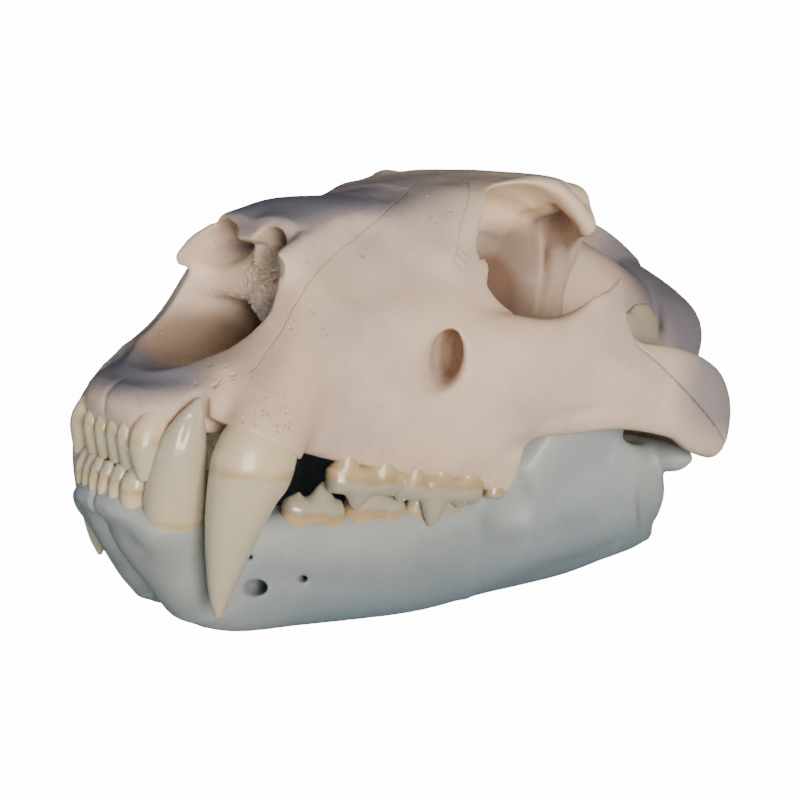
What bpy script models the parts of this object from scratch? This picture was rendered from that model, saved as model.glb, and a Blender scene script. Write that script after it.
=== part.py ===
"""Lion skull, life size, resting on its lower jaw with the mouth shut.

Shapes are given in the skull's own axes, in millimetres: x to the skull's left, s backwards
from the front of the upper incisors, h upwards from the plane under the chin, with the upper
tooth row level. The skull lies nose up by PITCH, because the lower borders of the jaw rest on
the floor. The world's axes are metres, +Z up, with the nose towards -Y.
"""
import bmesh
import bpy
import math
from mathutils import Euler, Vector

MM = 0.001
GAP = 0.3

# Driving dimensions, millimetres and degrees
PITCH = 9.3
PIVOT_S = 150.0
PIVOT_H = 60.0
PIVOT_Z = 43.6
REST_Z = 2.4
ALVEOLAR_H = 76.0
JAW_ALVEOLAR_H = 52.0
ARCH_HALF_BREADTH = 110.4
CANINE_ROOM = 0.6

# Where straight blocks part the upper skull into its nodes, millimetres
BLOCK_X = 150.0
BLOCK_FRONT_S = -40.0
BLOCK_BACK_S = 420.0
BLOCK_LOW_H = 40.0
BLOCK_HIGH_H = 230.0
FACE_CUT_LOW_S = 168.0
FACE_CUT_HIGH_S = 122.0
ARCH_CUT_X = 63.0
ARCH_ROOT_X = 78.0
ARCH_TURN_S = 236.0

# Mesh fineness, millimetres and counts
VOXEL = 1.7
FINE_VOXEL = 1.4
RING_POINTS = 36
RING_STEPS = 4
UPPER_TRIANGLES = 5400
JAW_TRIANGLES = 1900

BONE = (0.74, 0.66, 0.58, 1.0)
JAW_BONE = (0.62, 0.66, 0.66, 1.0)


def world(x, s, h):
    """Turn a point of the skull's own axes into the world's, in metres."""
    turn = math.radians(PITCH)
    back, rise = s - PIVOT_S, h - PIVOT_H
    y = PIVOT_S + math.cos(turn) * back + math.sin(turn) * rise
    z = PIVOT_Z - math.sin(turn) * back + math.cos(turn) * rise
    return Vector((x * MM, y * MM, z * MM))


def smooth_rows(rows, steps=RING_STEPS):
    """Give rows of sizes read from a smooth curve through the given rows."""
    last = len(rows) - 1
    fine = []
    for i in range(last):
        before, here = rows[max(i - 1, 0)], rows[i]
        there, after = rows[i + 1], rows[min(i + 2, last)]
        for k in range(steps):
            t = k / steps
            fine.append([
                0.5 * (2 * b + (c - a) * t + (2 * a - 5 * b + 4 * c - d) * t * t
                       + (3 * b - a - 3 * c + d) * t * t * t)
                for a, b, c, d in zip(before, here, there, after)])
    fine.append(list(rows[last]))
    return fine


def super_round(angle, squareness):
    """Give a point of a rounded square of half size one."""
    c, q = math.cos(angle), math.sin(angle)
    power = 2.0 / squareness
    return math.copysign(abs(c) ** power, c), math.copysign(abs(q) ** power, q)


def new_object(name, bm):
    """Put a bmesh into the scene as an object, with its faces pointing out."""
    bmesh.ops.recalc_face_normals(bm, faces=bm.faces)
    mesh = bpy.data.meshes.new(name)
    bm.to_mesh(mesh)
    bm.free()
    piece = bpy.data.objects.new(name, mesh)
    bpy.context.scene.collection.objects.link(piece)
    return piece


def solid(rings):
    """Close a row of rings into one solid, with flat ends."""
    bm = bmesh.new()
    loops = [[bm.verts.new(world(*p)) for p in ring] for ring in rings]
    count = len(loops[0])
    for near, far in zip(loops, loops[1:]):
        for i in range(count):
            j = (i + 1) % count
            bm.faces.new((near[i], near[j], far[j], far[i]))
    bm.faces.new(loops[0])
    bm.faces.new(loops[-1])
    return new_object("piece", bm)


def core(rows, points=RING_POINTS):
    """Loft a body that is alike on both sides.

    Each row is s, half width, height of the widest place, top, bottom, and the squareness
    above and below the widest place.
    """
    rings = []
    for s, wide, waist, top, bottom, upper, lower in smooth_rows(rows):
        ring = []
        for i in range(points):
            angle = 2 * math.pi * i / points
            above = math.sin(angle) >= 0
            across, up = super_round(angle, upper if above else lower)
            reach = top - waist if above else waist - bottom
            ring.append((wide * across, s, waist + reach * up))
        rings.append(ring)
    return solid(rings)


def sweep(rows, up=(0, 0, 1), side=1, squareness=2.0, points=16, steps=RING_STEPS):
    """Loft a body along a bent line.

    Each row is x, s, h, half thickness across and half height along up.
    """
    fine = smooth_rows(rows, steps)
    centres = [Vector(row[:3]) for row in fine]
    rings = []
    for i, row in enumerate(fine):
        along = centres[min(i + 1, len(fine) - 1)] - centres[max(i - 1, 0)]
        along.normalize()
        across = along.cross(Vector(up)).normalized()
        rise = across.cross(along)
        ring = []
        for k in range(points):
            a, b = super_round(2 * math.pi * k / points, squareness)
            p = centres[i] + across * (row[3] * a) + rise * (row[4] * b)
            ring.append((p.x * side, p.y, p.z))
        rings.append(ring)
    return solid(rings)


def blob(centre, radii, tilt=(0, 0, 0), side=1):
    """Make an egg with the given radii along x, s and h, turned by tilt in degrees."""
    bm = bmesh.new()
    bmesh.ops.create_icosphere(bm, subdivisions=3, radius=1.0)
    turn = Euler([math.radians(v) for v in tilt]).to_matrix()
    for v in bm.verts:
        p = turn @ Vector((v.co.x * radii[0], v.co.y * radii[1], v.co.z * radii[2]))
        v.co = world((p.x + centre[0]) * side, p.y + centre[1], p.z + centre[2])
    return new_object("piece", bm)


def block(corners):
    """Make a straight prism: four (s, h) corners, run from x low to x high."""
    (x_low, x_high), outline = corners
    return solid([[(x, s, h) for s, h in outline] for x in (x_low, x_high)])


def apply_modifiers(piece):
    """Turn an object's modifiers into its mesh."""
    graph = bpy.context.evaluated_depsgraph_get()
    mesh = bpy.data.meshes.new_from_object(piece.evaluated_get(graph))
    piece.modifiers.clear()
    piece.data = mesh
    return piece


def join(pieces):
    """Put several meshes into the first object."""
    bm = bmesh.new()
    for piece in pieces:
        bm.from_mesh(piece.data)
    bm.to_mesh(pieces[0].data)
    bm.free()
    for piece in pieces[1:]:
        bpy.data.objects.remove(piece)
    return pieces[0]


def melt(pieces, voxel=VOXEL, rounds=6):
    """Fuse overlapping solids into one smooth skin."""
    whole = join(pieces)
    remesh = whole.modifiers.new("Skin", "REMESH")
    remesh.mode = "VOXEL"
    remesh.voxel_size = voxel * MM
    if rounds:
        soften = whole.modifiers.new("Soften", "SMOOTH")
        soften.factor = 0.5
        soften.iterations = rounds
    return apply_modifiers(whole)


def boolean(target, others, operation="DIFFERENCE"):
    """Apply one Boolean of a collection to the target and remove its objects."""
    group = bpy.data.collections.new("Operands")
    bpy.context.scene.collection.children.link(group)
    for other in others:
        group.objects.link(other)
    step = target.modifiers.new("Boolean", "BOOLEAN")
    step.operation = operation
    step.operand_type = "COLLECTION"
    step.collection = group
    step.solver = "EXACT"
    apply_modifiers(target)
    for other in others:
        bpy.data.objects.remove(other)
    bpy.data.collections.remove(group)
    return target


def keep_largest(piece):
    """Keep only the largest closed surface of an object."""
    bm = bmesh.new()
    bm.from_mesh(piece.data)
    bm.verts.ensure_lookup_table()
    seen, shells = set(), []
    for start in bm.verts:
        if start in seen:
            continue
        shell, queue = [], [start]
        seen.add(start)
        while queue:
            v = queue.pop()
            shell.append(v)
            for edge in v.link_edges:
                other = edge.other_vert(v)
                if other not in seen:
                    seen.add(other)
                    queue.append(other)
        shells.append(shell)
    shells.sort(key=len, reverse=True)
    loose = [v for shell in shells[1:] for v in shell]
    bmesh.ops.delete(bm, geom=loose, context="VERTS")
    bm.to_mesh(piece.data)
    bm.free()
    return piece


def thin(piece, triangles):
    """Bring an object down to about a count of triangles."""
    reduce = piece.modifiers.new("Reduce", "DECIMATE")
    piece.data.calc_loop_triangles()
    reduce.ratio = triangles / len(piece.data.loop_triangles)
    return apply_modifiers(piece)


def copy_of(piece):
    """Copy an object with a mesh of its own."""
    twin = bpy.data.objects.new("piece", piece.data.copy())
    bpy.context.scene.collection.objects.link(twin)
    return twin


def finish_node(piece, name, material):
    """Name a node, keep it one body, triangulate it and give it its material."""
    keep_largest(piece)
    bm = bmesh.new()
    bm.from_mesh(piece.data)
    bmesh.ops.triangulate(bm, faces=bm.faces)
    bmesh.ops.dissolve_degenerate(bm, dist=0.00002, edges=bm.edges)
    bmesh.ops.triangulate(bm, faces=bm.faces)
    bmesh.ops.recalc_face_normals(bm, faces=bm.faces)
    bm.to_mesh(piece.data)
    bm.free()
    piece.name = name
    piece.data.name = name
    piece.data.materials.clear()
    piece.data.materials.append(material)
    piece.data.shade_smooth()
    return piece


def bone_material(name, colour):
    """Make a dry bone material."""
    material = bpy.data.materials.new(name)
    material.use_nodes = True
    shader = material.node_tree.nodes["Principled BSDF"]
    shader.inputs["Base Color"].default_value = colour
    shader.inputs["Roughness"].default_value = 0.55
    shader.inputs["Metallic"].default_value = 0.0
    return material


# Tooth crowns: shares of the length and of the crown height of each cusp and notch
BLADE = ((0.0, 0.3), (0.12, 0.6), (0.24, 0.55), (0.36, 0.82), (0.46, 1.0), (0.55, 0.8), (0.64, 0.62),
         (0.84, 0.74), (0.95, 0.6), (1.0, 0.3))
SHEAR = ((0.0, 0.35), (0.12, 0.75), (0.24, 0.92), (0.47, 0.6), (0.66, 0.85), (0.76, 1.0), (0.9, 0.6),
         (1.0, 0.3))
CONE = ((0.0, 0.3), (0.14, 0.5), (0.27, 0.5), (0.42, 0.86), (0.5, 1.0), (0.58, 0.86), (0.73, 0.5),
        (0.86, 0.52), (1.0, 0.3))


def cheek_tooth(front, back, base, height, half_width, cusps, side, points_up):
    """Make a cheek tooth: a ridge of cusps along its length, with its root sunk in the bone.

    front and back are (x, s) of its ends, base is the height of the bone's edge, and
    points_up is 1 for a lower tooth and -1 for an upper one.
    """
    sink = 6.0
    rings = []
    for share, rise in cusps:
        x = front[0] + (back[0] - front[0]) * share
        s = front[1] + (back[1] - front[1]) * share
        fullness = half_width * (0.55 + 0.45 * math.sin(math.pi * min(max(share, 0.05), 0.95)))
        tip = base + points_up * height * rise
        low = base - points_up * sink
        waist = base + points_up * height * 0.25 * min(rise * 2, 1)
        outline = [(-0.2, tip), (-1.0, waist), (-0.8, base), (-0.7, low),
                   (0.7, low), (0.8, base), (1.0, waist), (0.2, tip)]
        rings.append([((x + fullness * a) * side, s, h) for a, h in outline])
    return solid(rings)


def upper_incisors(side):
    """Make the three upper incisors of one side, growing outwards."""
    return [sweep(rows, up=(0, 1, 0), side=side, points=8, steps=2) for rows in UPPER_INCISORS]


def lower_incisors(side):
    """Make the three lower incisors of one side."""
    return [sweep(rows, up=(0, 1, 0), side=side, points=8, steps=2) for rows in LOWER_INCISORS]


# Canines and incisors as rows of x, s, h, half width and half depth, from root to tip
UPPER_CANINE = [(36.5, 62, 118, 5, 7), (39.8, 48, 104, 8.4, 11.5), (42.2, 37.5, 90, 11, 14.8),
                (43.2, 33, 80, 11.9, 15.9), (43, 29.4, 66, 10.4, 13.9), (42, 28.5, 54.8, 8.4, 11.2),
                (41, 28.3, 42.3, 6.0, 8.0), (39.3, 29.4, 28.7, 3.3, 4.3), (38.1, 31, 20.2, 1.0, 1.2)]
LOWER_CANINE = [(17, 36, 30, 6, 8), (22.4, 18.4, 52, 8.6, 11.5), (23.2, 16.4, 61, 8.7, 11.7),
                (25.2, 14.5, 71.3, 7.9, 10.4), (27.2, 13.7, 80.5, 6.2, 8.6),
                (28.6, 14.3, 88.6, 3.8, 5.3), (29.6, 15.6, 95.4, 1.1, 1.3)]
UPPER_INCISORS = [
    [(3.6, 8, 93, 2.6, 3.4), (3.8, 2.6, 80, 3.1, 4.2), (3.8, 2.8, 74, 3.1, 3.3),
     (3.8, 3.2, 68.6, 2.5, 1.4)],
    [(9.6, 9, 93, 2.8, 3.6), (10.7, 2.8, 80, 3.1, 4.6), (10.8, 3.0, 74, 3.1, 3.6),
     (10.9, 3.4, 68.4, 2.5, 1.5)],
    [(16.4, 11, 95, 4.2, 5.4), (18.6, 6.4, 86, 4.6, 6.4), (19.0, 4.6, 79.5, 4.7, 5.8),
     (19.6, 4.0, 72.5, 4.0, 4.8), (20.6, 3.0, 66, 1.6, 1.8)]]
LOWER_INCISORS = [
    [(2.8, 10, 44, 1.8, 2.8), (2.9, 2.1, 60, 2.3, 3.6), (2.9, 1.6, 67.2, 1.9, 1.3)],
    [(8.1, 11, 44, 2.2, 3.2), (8.6, 3.1, 60, 2.7, 3.8), (8.7, 2.6, 67.2, 2.3, 1.4)],
    [(13.5, 14, 44, 2.6, 3.6), (14.2, 5.4, 58, 3.2, 4.6), (14.4, 4.6, 66.8, 2.2, 1.8)]]


def swollen(rows, room):
    """Give the rows of a tooth made thicker all round and longer at its tip."""
    thick = [(x, s, h, a + room, b + room) for x, s, h, a, b in rows]
    x, s, h, a, b = thick[-1]
    return thick + [(x, s, h + room, a, b)]


def canine(rows, side):
    """Make a canine with its root."""
    return sweep(rows, up=(0, 1, 0), side=side, points=12, steps=3)


def upper_teeth():
    """Make every upper tooth."""
    teeth = []
    for side in (1, -1):
        teeth += upper_incisors(side)
        teeth.append(canine(UPPER_CANINE, side))
        teeth.append(cheek_tooth((41.8, 70.5), (50.3, 100.8), ALVEOLAR_H, 18.5, 5.2, CONE, side, -1))
        teeth.append(cheek_tooth((51, 102.5), (62, 141), ALVEOLAR_H - 3, 21.5, 4.9, BLADE, side, -1))
        teeth.append(cheek_tooth((61.5, 144), (65, 150.5), ALVEOLAR_H - 3, 6, 3.4, SHEAR, side, -1))
    return teeth


def lower_teeth(side):
    """Make the lower teeth of one side."""
    teeth = lower_incisors(side)
    teeth.append(canine(LOWER_CANINE, side))
    teeth.append(cheek_tooth((31.8, 60), (38.6, 84.5), JAW_ALVEOLAR_H, 15, 4.8, CONE, side, 1))
    teeth.append(cheek_tooth((39, 86.5), (45.5, 111), JAW_ALVEOLAR_H + 2, 18, 4.6, CONE, side, 1))
    teeth.append(cheek_tooth((45.4, 113), (52, 139), JAW_ALVEOLAR_H + 4.5, 16, 4.0, SHEAR, side, 1))
    return teeth


def muzzle_bone():
    """Make the maxillae, premaxillae and nasals as overlapping solids."""
    pieces = [core([
        (0.5, 14, 84, 89, 80, 2.4, 2.4),
        (5, 19, 85, 96, 78, 2.4, 3.0),
        (13, 23.5, 87, 105, 79, 2.2, 3.0),
        (22, 31, 91, 112.5, 82, 2.2, 3.0),
        (32, 41, 93, 120, 84, 2.2, 3.2),
        (42, 45.5, 95, 134, 85, 2.1, 3.6),
        (50, 46, 96, 157, 85, 2.1, 3.6),
        (60, 45, 98, 168, 85, 2.05, 4.0),
        (75, 43, 99, 173.6, 85, 2.05, 4.0),
        (95, 48, 100, 178, 85, 2.05, 4.0),
        (115, 55, 103, 184, 85, 2.1, 4.0),
        (132, 61, 106, 189, 86, 2.15, 4.0),
        (148, 61, 110, 193, 88, 2.3, 4.0)])]
    for side in (1, -1):
        pieces.append(sweep([(42.6, 35, 82.5, 12, 16), (42, 37, 88, 12, 16), (38.8, 49, 103, 9.8, 12.8),
                             (35.8, 61, 119, 7.8, 10.4), (30.8, 72, 134, 6, 8)], up=(0, 1, 0), side=side))
        pieces.append(sweep([(33, 44, 93, 8, 8), (30, 36, 96, 10, 10), (26, 26, 96, 9, 10)], side=side))
        pieces.append(sweep([(37, 44, 95, 5, 11), (41, 68, 93, 6, 16), (46, 84, 94, 6.6, 19),
                             (51, 103, 95, 7, 22.5), (55.5, 120, 95, 7.5, 23), (61, 138, 93, 8, 21.5),
                             (64, 148, 88, 6, 21), (66.5, 156, 86, 4.5, 18)], side=side, squareness=2.4))
        pieces.append(sweep([(33, 58, 114, 5, 12), (38.6, 76, 116, 7, 14), (44.4, 94, 118, 7.4, 15.5),
                             (51, 114, 118, 8, 17)], side=side))
        pieces.append(sweep([(-1, 3.6, 88.5, 6, 7), (8, 4, 88.5, 6.2, 7.2), (13, 6.4, 89, 6.6, 7.4),
                             (17.5, 10.8, 90.5, 7, 7.2), (22, 16, 92, 6.6, 7), (29, 24, 93, 6, 7)],
                            side=side))
        pieces.append(sweep([(24, 76, 157, 5.2, 10), (26.2, 61, 151, 4.4, 9), (27.6, 49.5, 146.5, 3.6, 7),
                             (27, 40, 141.4, 2.2, 3.4)], side=side))
        pieces.append(sweep([(13, 100, 168, 13, 9), (13, 76, 164.5, 13.5, 8), (13, 62, 160.6, 12.5, 6),
                             (13, 53, 158.2, 11, 5)], side=side))
    return pieces


def braincase_bone():
    """Make the frontals, parietals, occiput and skull base as overlapping solids."""
    pieces = [
        core([
            (120, 38, 150, 186, 100, 2.4, 2.4),
            (140, 36, 155, 193, 92, 2.6, 2.4),
            (160, 33, 160, 198, 90, 2.6, 2.4),
            (185, 33, 155, 200, 90, 2.5, 2.4),
            (208, 31, 150, 196, 88, 2.3, 2.4),
            (230, 38, 142, 190, 84, 2.2, 2.4),
            (252, 47, 136, 187, 78, 2.2, 2.4),
            (275, 51, 130, 183, 76, 2.2, 2.6),
            (296, 50, 126, 179, 78, 2.2, 2.6),
            (313, 47, 126, 179, 84, 2.1, 2.6),
            (325, 41, 132, 180, 92, 2.1, 2.2),
            (333, 32, 142, 180, 108, 2.1, 2.2),
            (338, 20, 152, 178, 126, 2.1, 2.2)]),
        core([
            (104, 14, 168, 175, 164, 2.4, 2.0),
            (122, 24, 175, 181, 169, 2.4, 2.0),
            (140, 33, 182, 188, 174, 2.5, 2.0),
            (160, 41, 189.5, 196, 178, 2.6, 2.0),
            (178, 49, 197.4, 204.2, 183, 3.5, 2.0),
            (190, 51, 196.5, 205.4, 183, 3.1, 2.0),
            (201, 38, 196, 205.2, 185, 2.4, 2.0),
            (218, 14, 194, 204, 184, 2.2, 2.0)]),
        sweep([(0, 205, 190, 9, 15), (0, 225, 187.4, 5, 16), (0, 250, 184, 3.6, 17),
               (0, 275, 182, 3.4, 17), (0, 300, 180.8, 3.6, 16), (0, 322, 176.5, 4.5, 15.5),
               (0, 341, 171, 5, 15)], squareness=2.6),
        core([
            (140, 26, 110, 140, 88, 2.4, 4.0),
            (165, 24, 112, 140, 86, 2.4, 4.0),
            (190, 21, 112, 140, 88, 2.4, 4.0),
            (212, 18, 112, 130, 88, 2.4, 4.0)]),
    ]
    for side in (1, -1):
        pieces.append(sweep([(41, 131, 172, 6, 7), (40, 144, 186.5, 6, 4.6), (40, 157, 193, 6, 4.4),
                             (43, 168, 197, 6.4, 4.6), (49, 177, 196, 6.4, 5), (55.4, 185, 189.6, 5.4, 5.2),
                             (59.6, 189, 183.6, 3.2, 3.6), (61.5, 190.6, 180.6, 1.6, 1.8)], side=side))
        pieces.append(sweep([(60, 191.6, 185.2, 3.6, 4.2), (56.6, 196.5, 191, 5.6, 6),
                             (48.5, 197, 197, 7, 6.2), (35, 202, 199, 7, 5.6),
                             (18, 214, 198.5, 6.5, 5.5), (3, 236, 196, 4, 6)], side=side))
        pieces.append(sweep([(0, 331, 179, 5, 15), (14, 329, 173, 5, 17), (29, 326, 166, 5, 18),
                             (43, 321, 157, 5, 19), (53, 310, 144, 5, 18), (59, 297, 127, 5.5, 15),
                             (61, 287, 106, 7, 13), (61, 284, 90, 8, 11), (60, 283, 78, 5, 7)],
                            up=(0, 1, 0), side=side, squareness=2.4))
        pieces.append(blob((58, 284, 88), (9, 10, 14), (0, 0, 0), side))
        pieces.append(blob((52, 290, 112), (10, 12, 30), (0, 0, 0), side))
        pieces.append(sweep([(46, 300, 92, 6, 8), (49, 303, 78, 4.5, 7), (50, 303, 68, 2.5, 4)],
                            up=(0, 1, 0), side=side))
        pieces.append(blob((33, 274, 76), (15, 21, 14), (0, 0, 15), side))
        pieces.append(sweep([(16, 312, 92, 9, 12), (20, 322, 96, 9, 14), (22, 329, 99, 6, 9)],
                            side=side))
        pieces.append(sweep([(20, 168, 96, 3.5, 12), (19, 192, 94, 3, 12), (19, 210, 90, 2.5, 9),
                             (20, 218, 84, 2, 4)], side=side))
        pieces.append(sweep([(44, 262, 104, 12, 14), (60, 265, 100, 12, 11), (76, 267, 99, 11, 10),
                             (92, 266, 101, 9, 11)], side=side))
    return pieces


def arch_bone(side):
    """Make one cheek arch, from the maxilla round to the root on the braincase."""
    reach = ARCH_HALF_BREADTH - 7.8
    rows = [(41, 112, 114, 9, 20), (53, 127, 114, 11.5, 24), (65, 143, 115, 11, 25.5),
            (75.5, 160, 117, 8.5, 23.5),
            (83.5, 178, 119, 6.8, 22), (90.5, 196, 118.5, 6.4, 19), (96.5, 214, 118.2, 6.4, 19.5),
            (reach - 2, 230, 116, 7, 19.5), (reach, 244, 110, 7.8, 19.5),
            (reach - 2, 257, 104, 9, 15.5), (90, 265.5, 101, 9, 11), (76, 267, 99, 10, 10)]
    return [sweep(rows, side=side, squareness=2.3, points=20),
            sweep([(83, 172, 132, 5, 17), (83.5, 176, 146, 4.4, 11.5), (84, 180, 156, 3.6, 6.4),
                   (84, 181.6, 163, 1.5, 2)], up=(0, 1, 0), side=side)]


def upper_cutters():
    """Make the solids that hollow out the orbits, nose, palate, foramina and throat."""
    cutters = []
    for side in (1, -1):
        cutters.append(sweep([(104, 122, 171, 36, 34), (80, 140, 171, 31, 31), (66, 152, 170.5, 28, 29.5),
                              (54, 162, 169.5, 25.5, 28.5), (45, 168, 168, 20, 28), (38, 166, 164, 13, 22)],
                             side=side, points=28))
        cutters.append(sweep([(62, 102, 117, 6.5, 11), (51, 117, 120, 6, 10.8), (44, 132, 121, 5, 9)],
                             side=side))
        cutters.append(blob((60.5, 94, 117), (6.5, 17, 12), (0, 0, -12), side))
        cutters.append(sweep([(40, 258, 86, 9.5, 9.5), (62, 259, 84, 11, 11), (84, 260, 84.5, 11, 11),
                              (99, 260, 85, 9, 9)], side=side, points=20))
        cutters.append(blob((66, 222, 172), (22, 40, 42), (0, 0, -8), side))
        cutters.append(sweep([(25.6, 14.4, 70, 10, 12.6), (27.6, 13.7, 81, 8, 10.6), (29, 14.1, 89, 6, 7.4),
                              (30.2, 15.2, 98, 3.6, 4.2)], up=(0, 1, 0), side=side))
        cutters.append(sweep([(13, 28, 142, 9, 9.5), (12.5, 46, 148, 8.4, 10.6), (12.4, 58, 151.5, 8, 10.2),
                              (11.8, 74, 154.5, 7.2, 9), (10.5, 92, 157, 6, 7)], side=side))
    cutters.append(core([(-20, 20, 118, 150, 103, 2.2, 2.6), (12, 18, 116, 150, 101, 2.2, 2.6),
                         (28, 24, 122, 150, 102, 2.2, 2.6), (42, 27, 132, 151, 105, 2.2, 2.6),
                         (52, 26.5, 134, 151, 107, 2.2, 2.6), (60, 24.5, 132, 150, 108, 2.2, 2.6),
                         (66, 22.5, 126, 139, 109, 2.2, 2.6), (84, 19.5, 124, 135, 110, 2.2, 2.6),
                         (112, 17, 123, 134, 110, 2.2, 2.4), (140, 13, 122, 131, 112, 2.2, 2.2)]))
    cutters.append(core([(172, 11, 96, 106, 60, 2.4, 4.0), (195, 12.5, 96, 107, 60, 2.4, 4.0),
                         (226, 14, 94, 103, 60, 2.4, 4.0)]))
    cutters.append(core([(300, 11, 102, 113, 90, 2.2, 2.2), (318, 14, 103, 117, 90, 2.2, 2.2),
                         (345, 18, 104, 122, 88, 2.2, 2.2)]))
    return cutters


def region(x_low, x_high, outline):
    """Make a straight block that takes one node out of the whole."""
    return block(((x_low, x_high), outline))


def arch_block(side, grow):
    """Make the block that holds one cheek arch, grown by a gap on its inner sides."""
    front = [(BLOCK_FRONT_S, BLOCK_LOW_H), (ARCH_TURN_S, BLOCK_LOW_H),
             (ARCH_TURN_S, BLOCK_HIGH_H), (BLOCK_FRONT_S, BLOCK_HIGH_H)]
    turn = ARCH_TURN_S - max(grow, 0.01)
    back = [(turn, BLOCK_LOW_H), (BLOCK_BACK_S, BLOCK_LOW_H),
            (BLOCK_BACK_S, BLOCK_HIGH_H), (turn, BLOCK_HIGH_H)]
    wing = region(*sorted(((ARCH_CUT_X - grow) * side, BLOCK_X * side)), front)
    root = region(*sorted(((ARCH_ROOT_X - grow) * side, BLOCK_X * side)), back)
    return boolean(wing, [root], "UNION")


def build_upper(material):
    """Build the upper skull whole, then part it into its nodes with thin cuts."""
    pieces = muzzle_bone() + braincase_bone()
    for side in (1, -1):
        pieces += arch_bone(side)
    whole = melt(pieces, VOXEL, 8)
    for cutter in upper_cutters():
        boolean(whole, [cutter])
    whole = melt([whole], FINE_VOXEL, 5)
    keep_largest(whole)
    thin(whole, UPPER_TRIANGLES)

    muzzle_outline = [(BLOCK_FRONT_S, BLOCK_LOW_H), (FACE_CUT_LOW_S, BLOCK_LOW_H),
                      (FACE_CUT_HIGH_S, BLOCK_HIGH_H), (BLOCK_FRONT_S, BLOCK_HIGH_H)]
    rear_outline = [(FACE_CUT_LOW_S + GAP, BLOCK_LOW_H), (BLOCK_BACK_S, BLOCK_LOW_H),
                    (BLOCK_BACK_S, BLOCK_HIGH_H), (FACE_CUT_HIGH_S + GAP, BLOCK_HIGH_H)]
    muzzle = boolean(copy_of(whole), [region(-BLOCK_X, BLOCK_X, muzzle_outline)], "INTERSECT")
    rear = boolean(whole, [region(-BLOCK_X, BLOCK_X, rear_outline)], "INTERSECT")
    arches = []
    for side in (1, -1):
        arch = boolean(copy_of(rear), [arch_block(side, 0.0)], "INTERSECT")
        arches.append(keep_largest(arch))
    for side in (1, -1):
        boolean(rear, [arch_block(side, GAP)])
    boolean(muzzle, upper_teeth(), "UNION")
    for side in (1, -1):
        boolean(muzzle, [canine(swollen(LOWER_CANINE, CANINE_ROOM), side)])
    return [finish_node(muzzle, "muzzle", material),
            finish_node(rear, "braincase", material),
            finish_node(arches[0], "zygomatic_arch_left", material),
            finish_node(arches[1], "zygomatic_arch_right", material)]


def jaw_bone(side):
    """Make one half of the lower jaw as overlapping solids."""
    return [
        sweep([(5, 5, 53.5, 9, 4.5), (6, 10.5, 49.5, 10.5, 8.5), (7, 19, 43.5, 12.6, 12.5),
               (8.6, 29, 38, 14.6, 16.5), (12, 42, 31.5, 16.5, 22), (17, 56, 29.5, 15.5, 24.5),
               (28, 76, 31.3, 10.5, 23.5), (38, 100, 34, 9.5, 23.5), (47, 126, 37, 9, 23.6),
               (53.8, 152, 41.5, 9, 22.7), (59.8, 178, 46.2, 8.5, 23.6), (65.5, 202, 51.7, 8, 25.2),
               (71.8, 226, 58, 7, 24), (76, 244, 63.5, 6, 20.5), (78.5, 256, 67, 5, 16),
               (79, 262, 69, 3.5, 10)],
              side=side, squareness=2.2, points=24),
        sweep([(61, 182.5, 62, 6.5, 27.5), (67, 198, 82, 6, 31.5), (70, 206, 103, 5.5, 29.5),
               (72, 217, 123, 4.5, 25), (73, 229, 138, 4, 20), (73, 233, 145.5, 3.4, 16),
               (73, 236, 151, 2, 9)], up=(0, 1, 0), side=side, squareness=2.3),
        sweep([(47, 261, 82, 5, 5), (55, 260, 83, 8, 8), (70, 259, 83, 8.5, 8.5), (86, 259, 84, 8.5, 8.5),
               (93, 260, 84.5, 7, 7), (96, 260, 85, 4, 4)], side=side),
        sweep([(72, 226, 74, 7, 17), (73, 242, 76, 6.5, 14), (72, 257, 80, 8, 9)], side=side),
        sweep([(24, 48, 41, 6, 9), (31, 62, 43.5, 6.5, 10), (36.5, 80, 42, 7, 10.5), (42, 100, 43, 7.5, 12),
               (46, 115, 44, 7.5, 12), (52, 140, 48, 7, 12), (57, 158, 54, 6, 11)],
              side=side, squareness=2.3),
        sweep([(56, 158, 60, 5.5, 12), (59, 173, 78, 5, 12.5), (65, 184, 94, 5, 13)],
              up=(0, 1, 0), side=side),
        sweep([(-1, 3.6, 53.6, 5.2, 5.4), (8, 4.4, 53.6, 5.4, 5.4), (14, 7.6, 51.8, 6.4, 5.4),
               (20, 12, 48, 7, 6)], side=side),
        sweep([(21.8, 19.4, 53.2, 8.8, 11.8), (19.6, 22.6, 46, 8, 10.6), (16.6, 32, 32, 7, 9),
               (14, 42, 22, 6, 8)], up=(0, 1, 0), side=side),
        sweep([(75, 232, 49, 6, 12), (77.5, 247, 48.4, 5.5, 9), (79, 257, 46.5, 3.5, 4)], side=side),
    ]


def build_jaw(side, name, material):
    """Build one half of the lower jaw, with flats where it rests."""
    jaw = melt(jaw_bone(side), FINE_VOXEL, 6)
    cutters = [blob((88, 206, 88), (13, 34, 32), (0, 0, 6), side),
               blob((42, 176, 66), (10, 10, 12), (0, 0, 0), side),
               sweep([(38, 44, 27, 4.6, 3.8), (31, 53, 26, 3.8, 3.3), (24, 66, 25, 3, 2.6)], side=side)]
    for cutter in cutters:
        boolean(jaw, [cutter])
    jaw = melt([jaw], FINE_VOXEL, 3)
    keep_largest(jaw)
    thin(jaw, JAW_TRIANGLES)
    inner = sorted((GAP / 2 * side, 150 * side))
    boolean(jaw, [region(inner[0], inner[1], [(-40, -40), (330, -40), (330, 200), (-40, 200)])],
            "INTERSECT")
    boolean(jaw, lower_teeth(side), "UNION")
    floor = bmesh.new()
    bmesh.ops.create_cube(floor, size=1.0)
    bmesh.ops.translate(floor, verts=floor.verts, vec=(0, 0, REST_Z * MM - 0.5))
    boolean(jaw, [new_object("piece", floor)])
    return finish_node(jaw, name, material)


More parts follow.
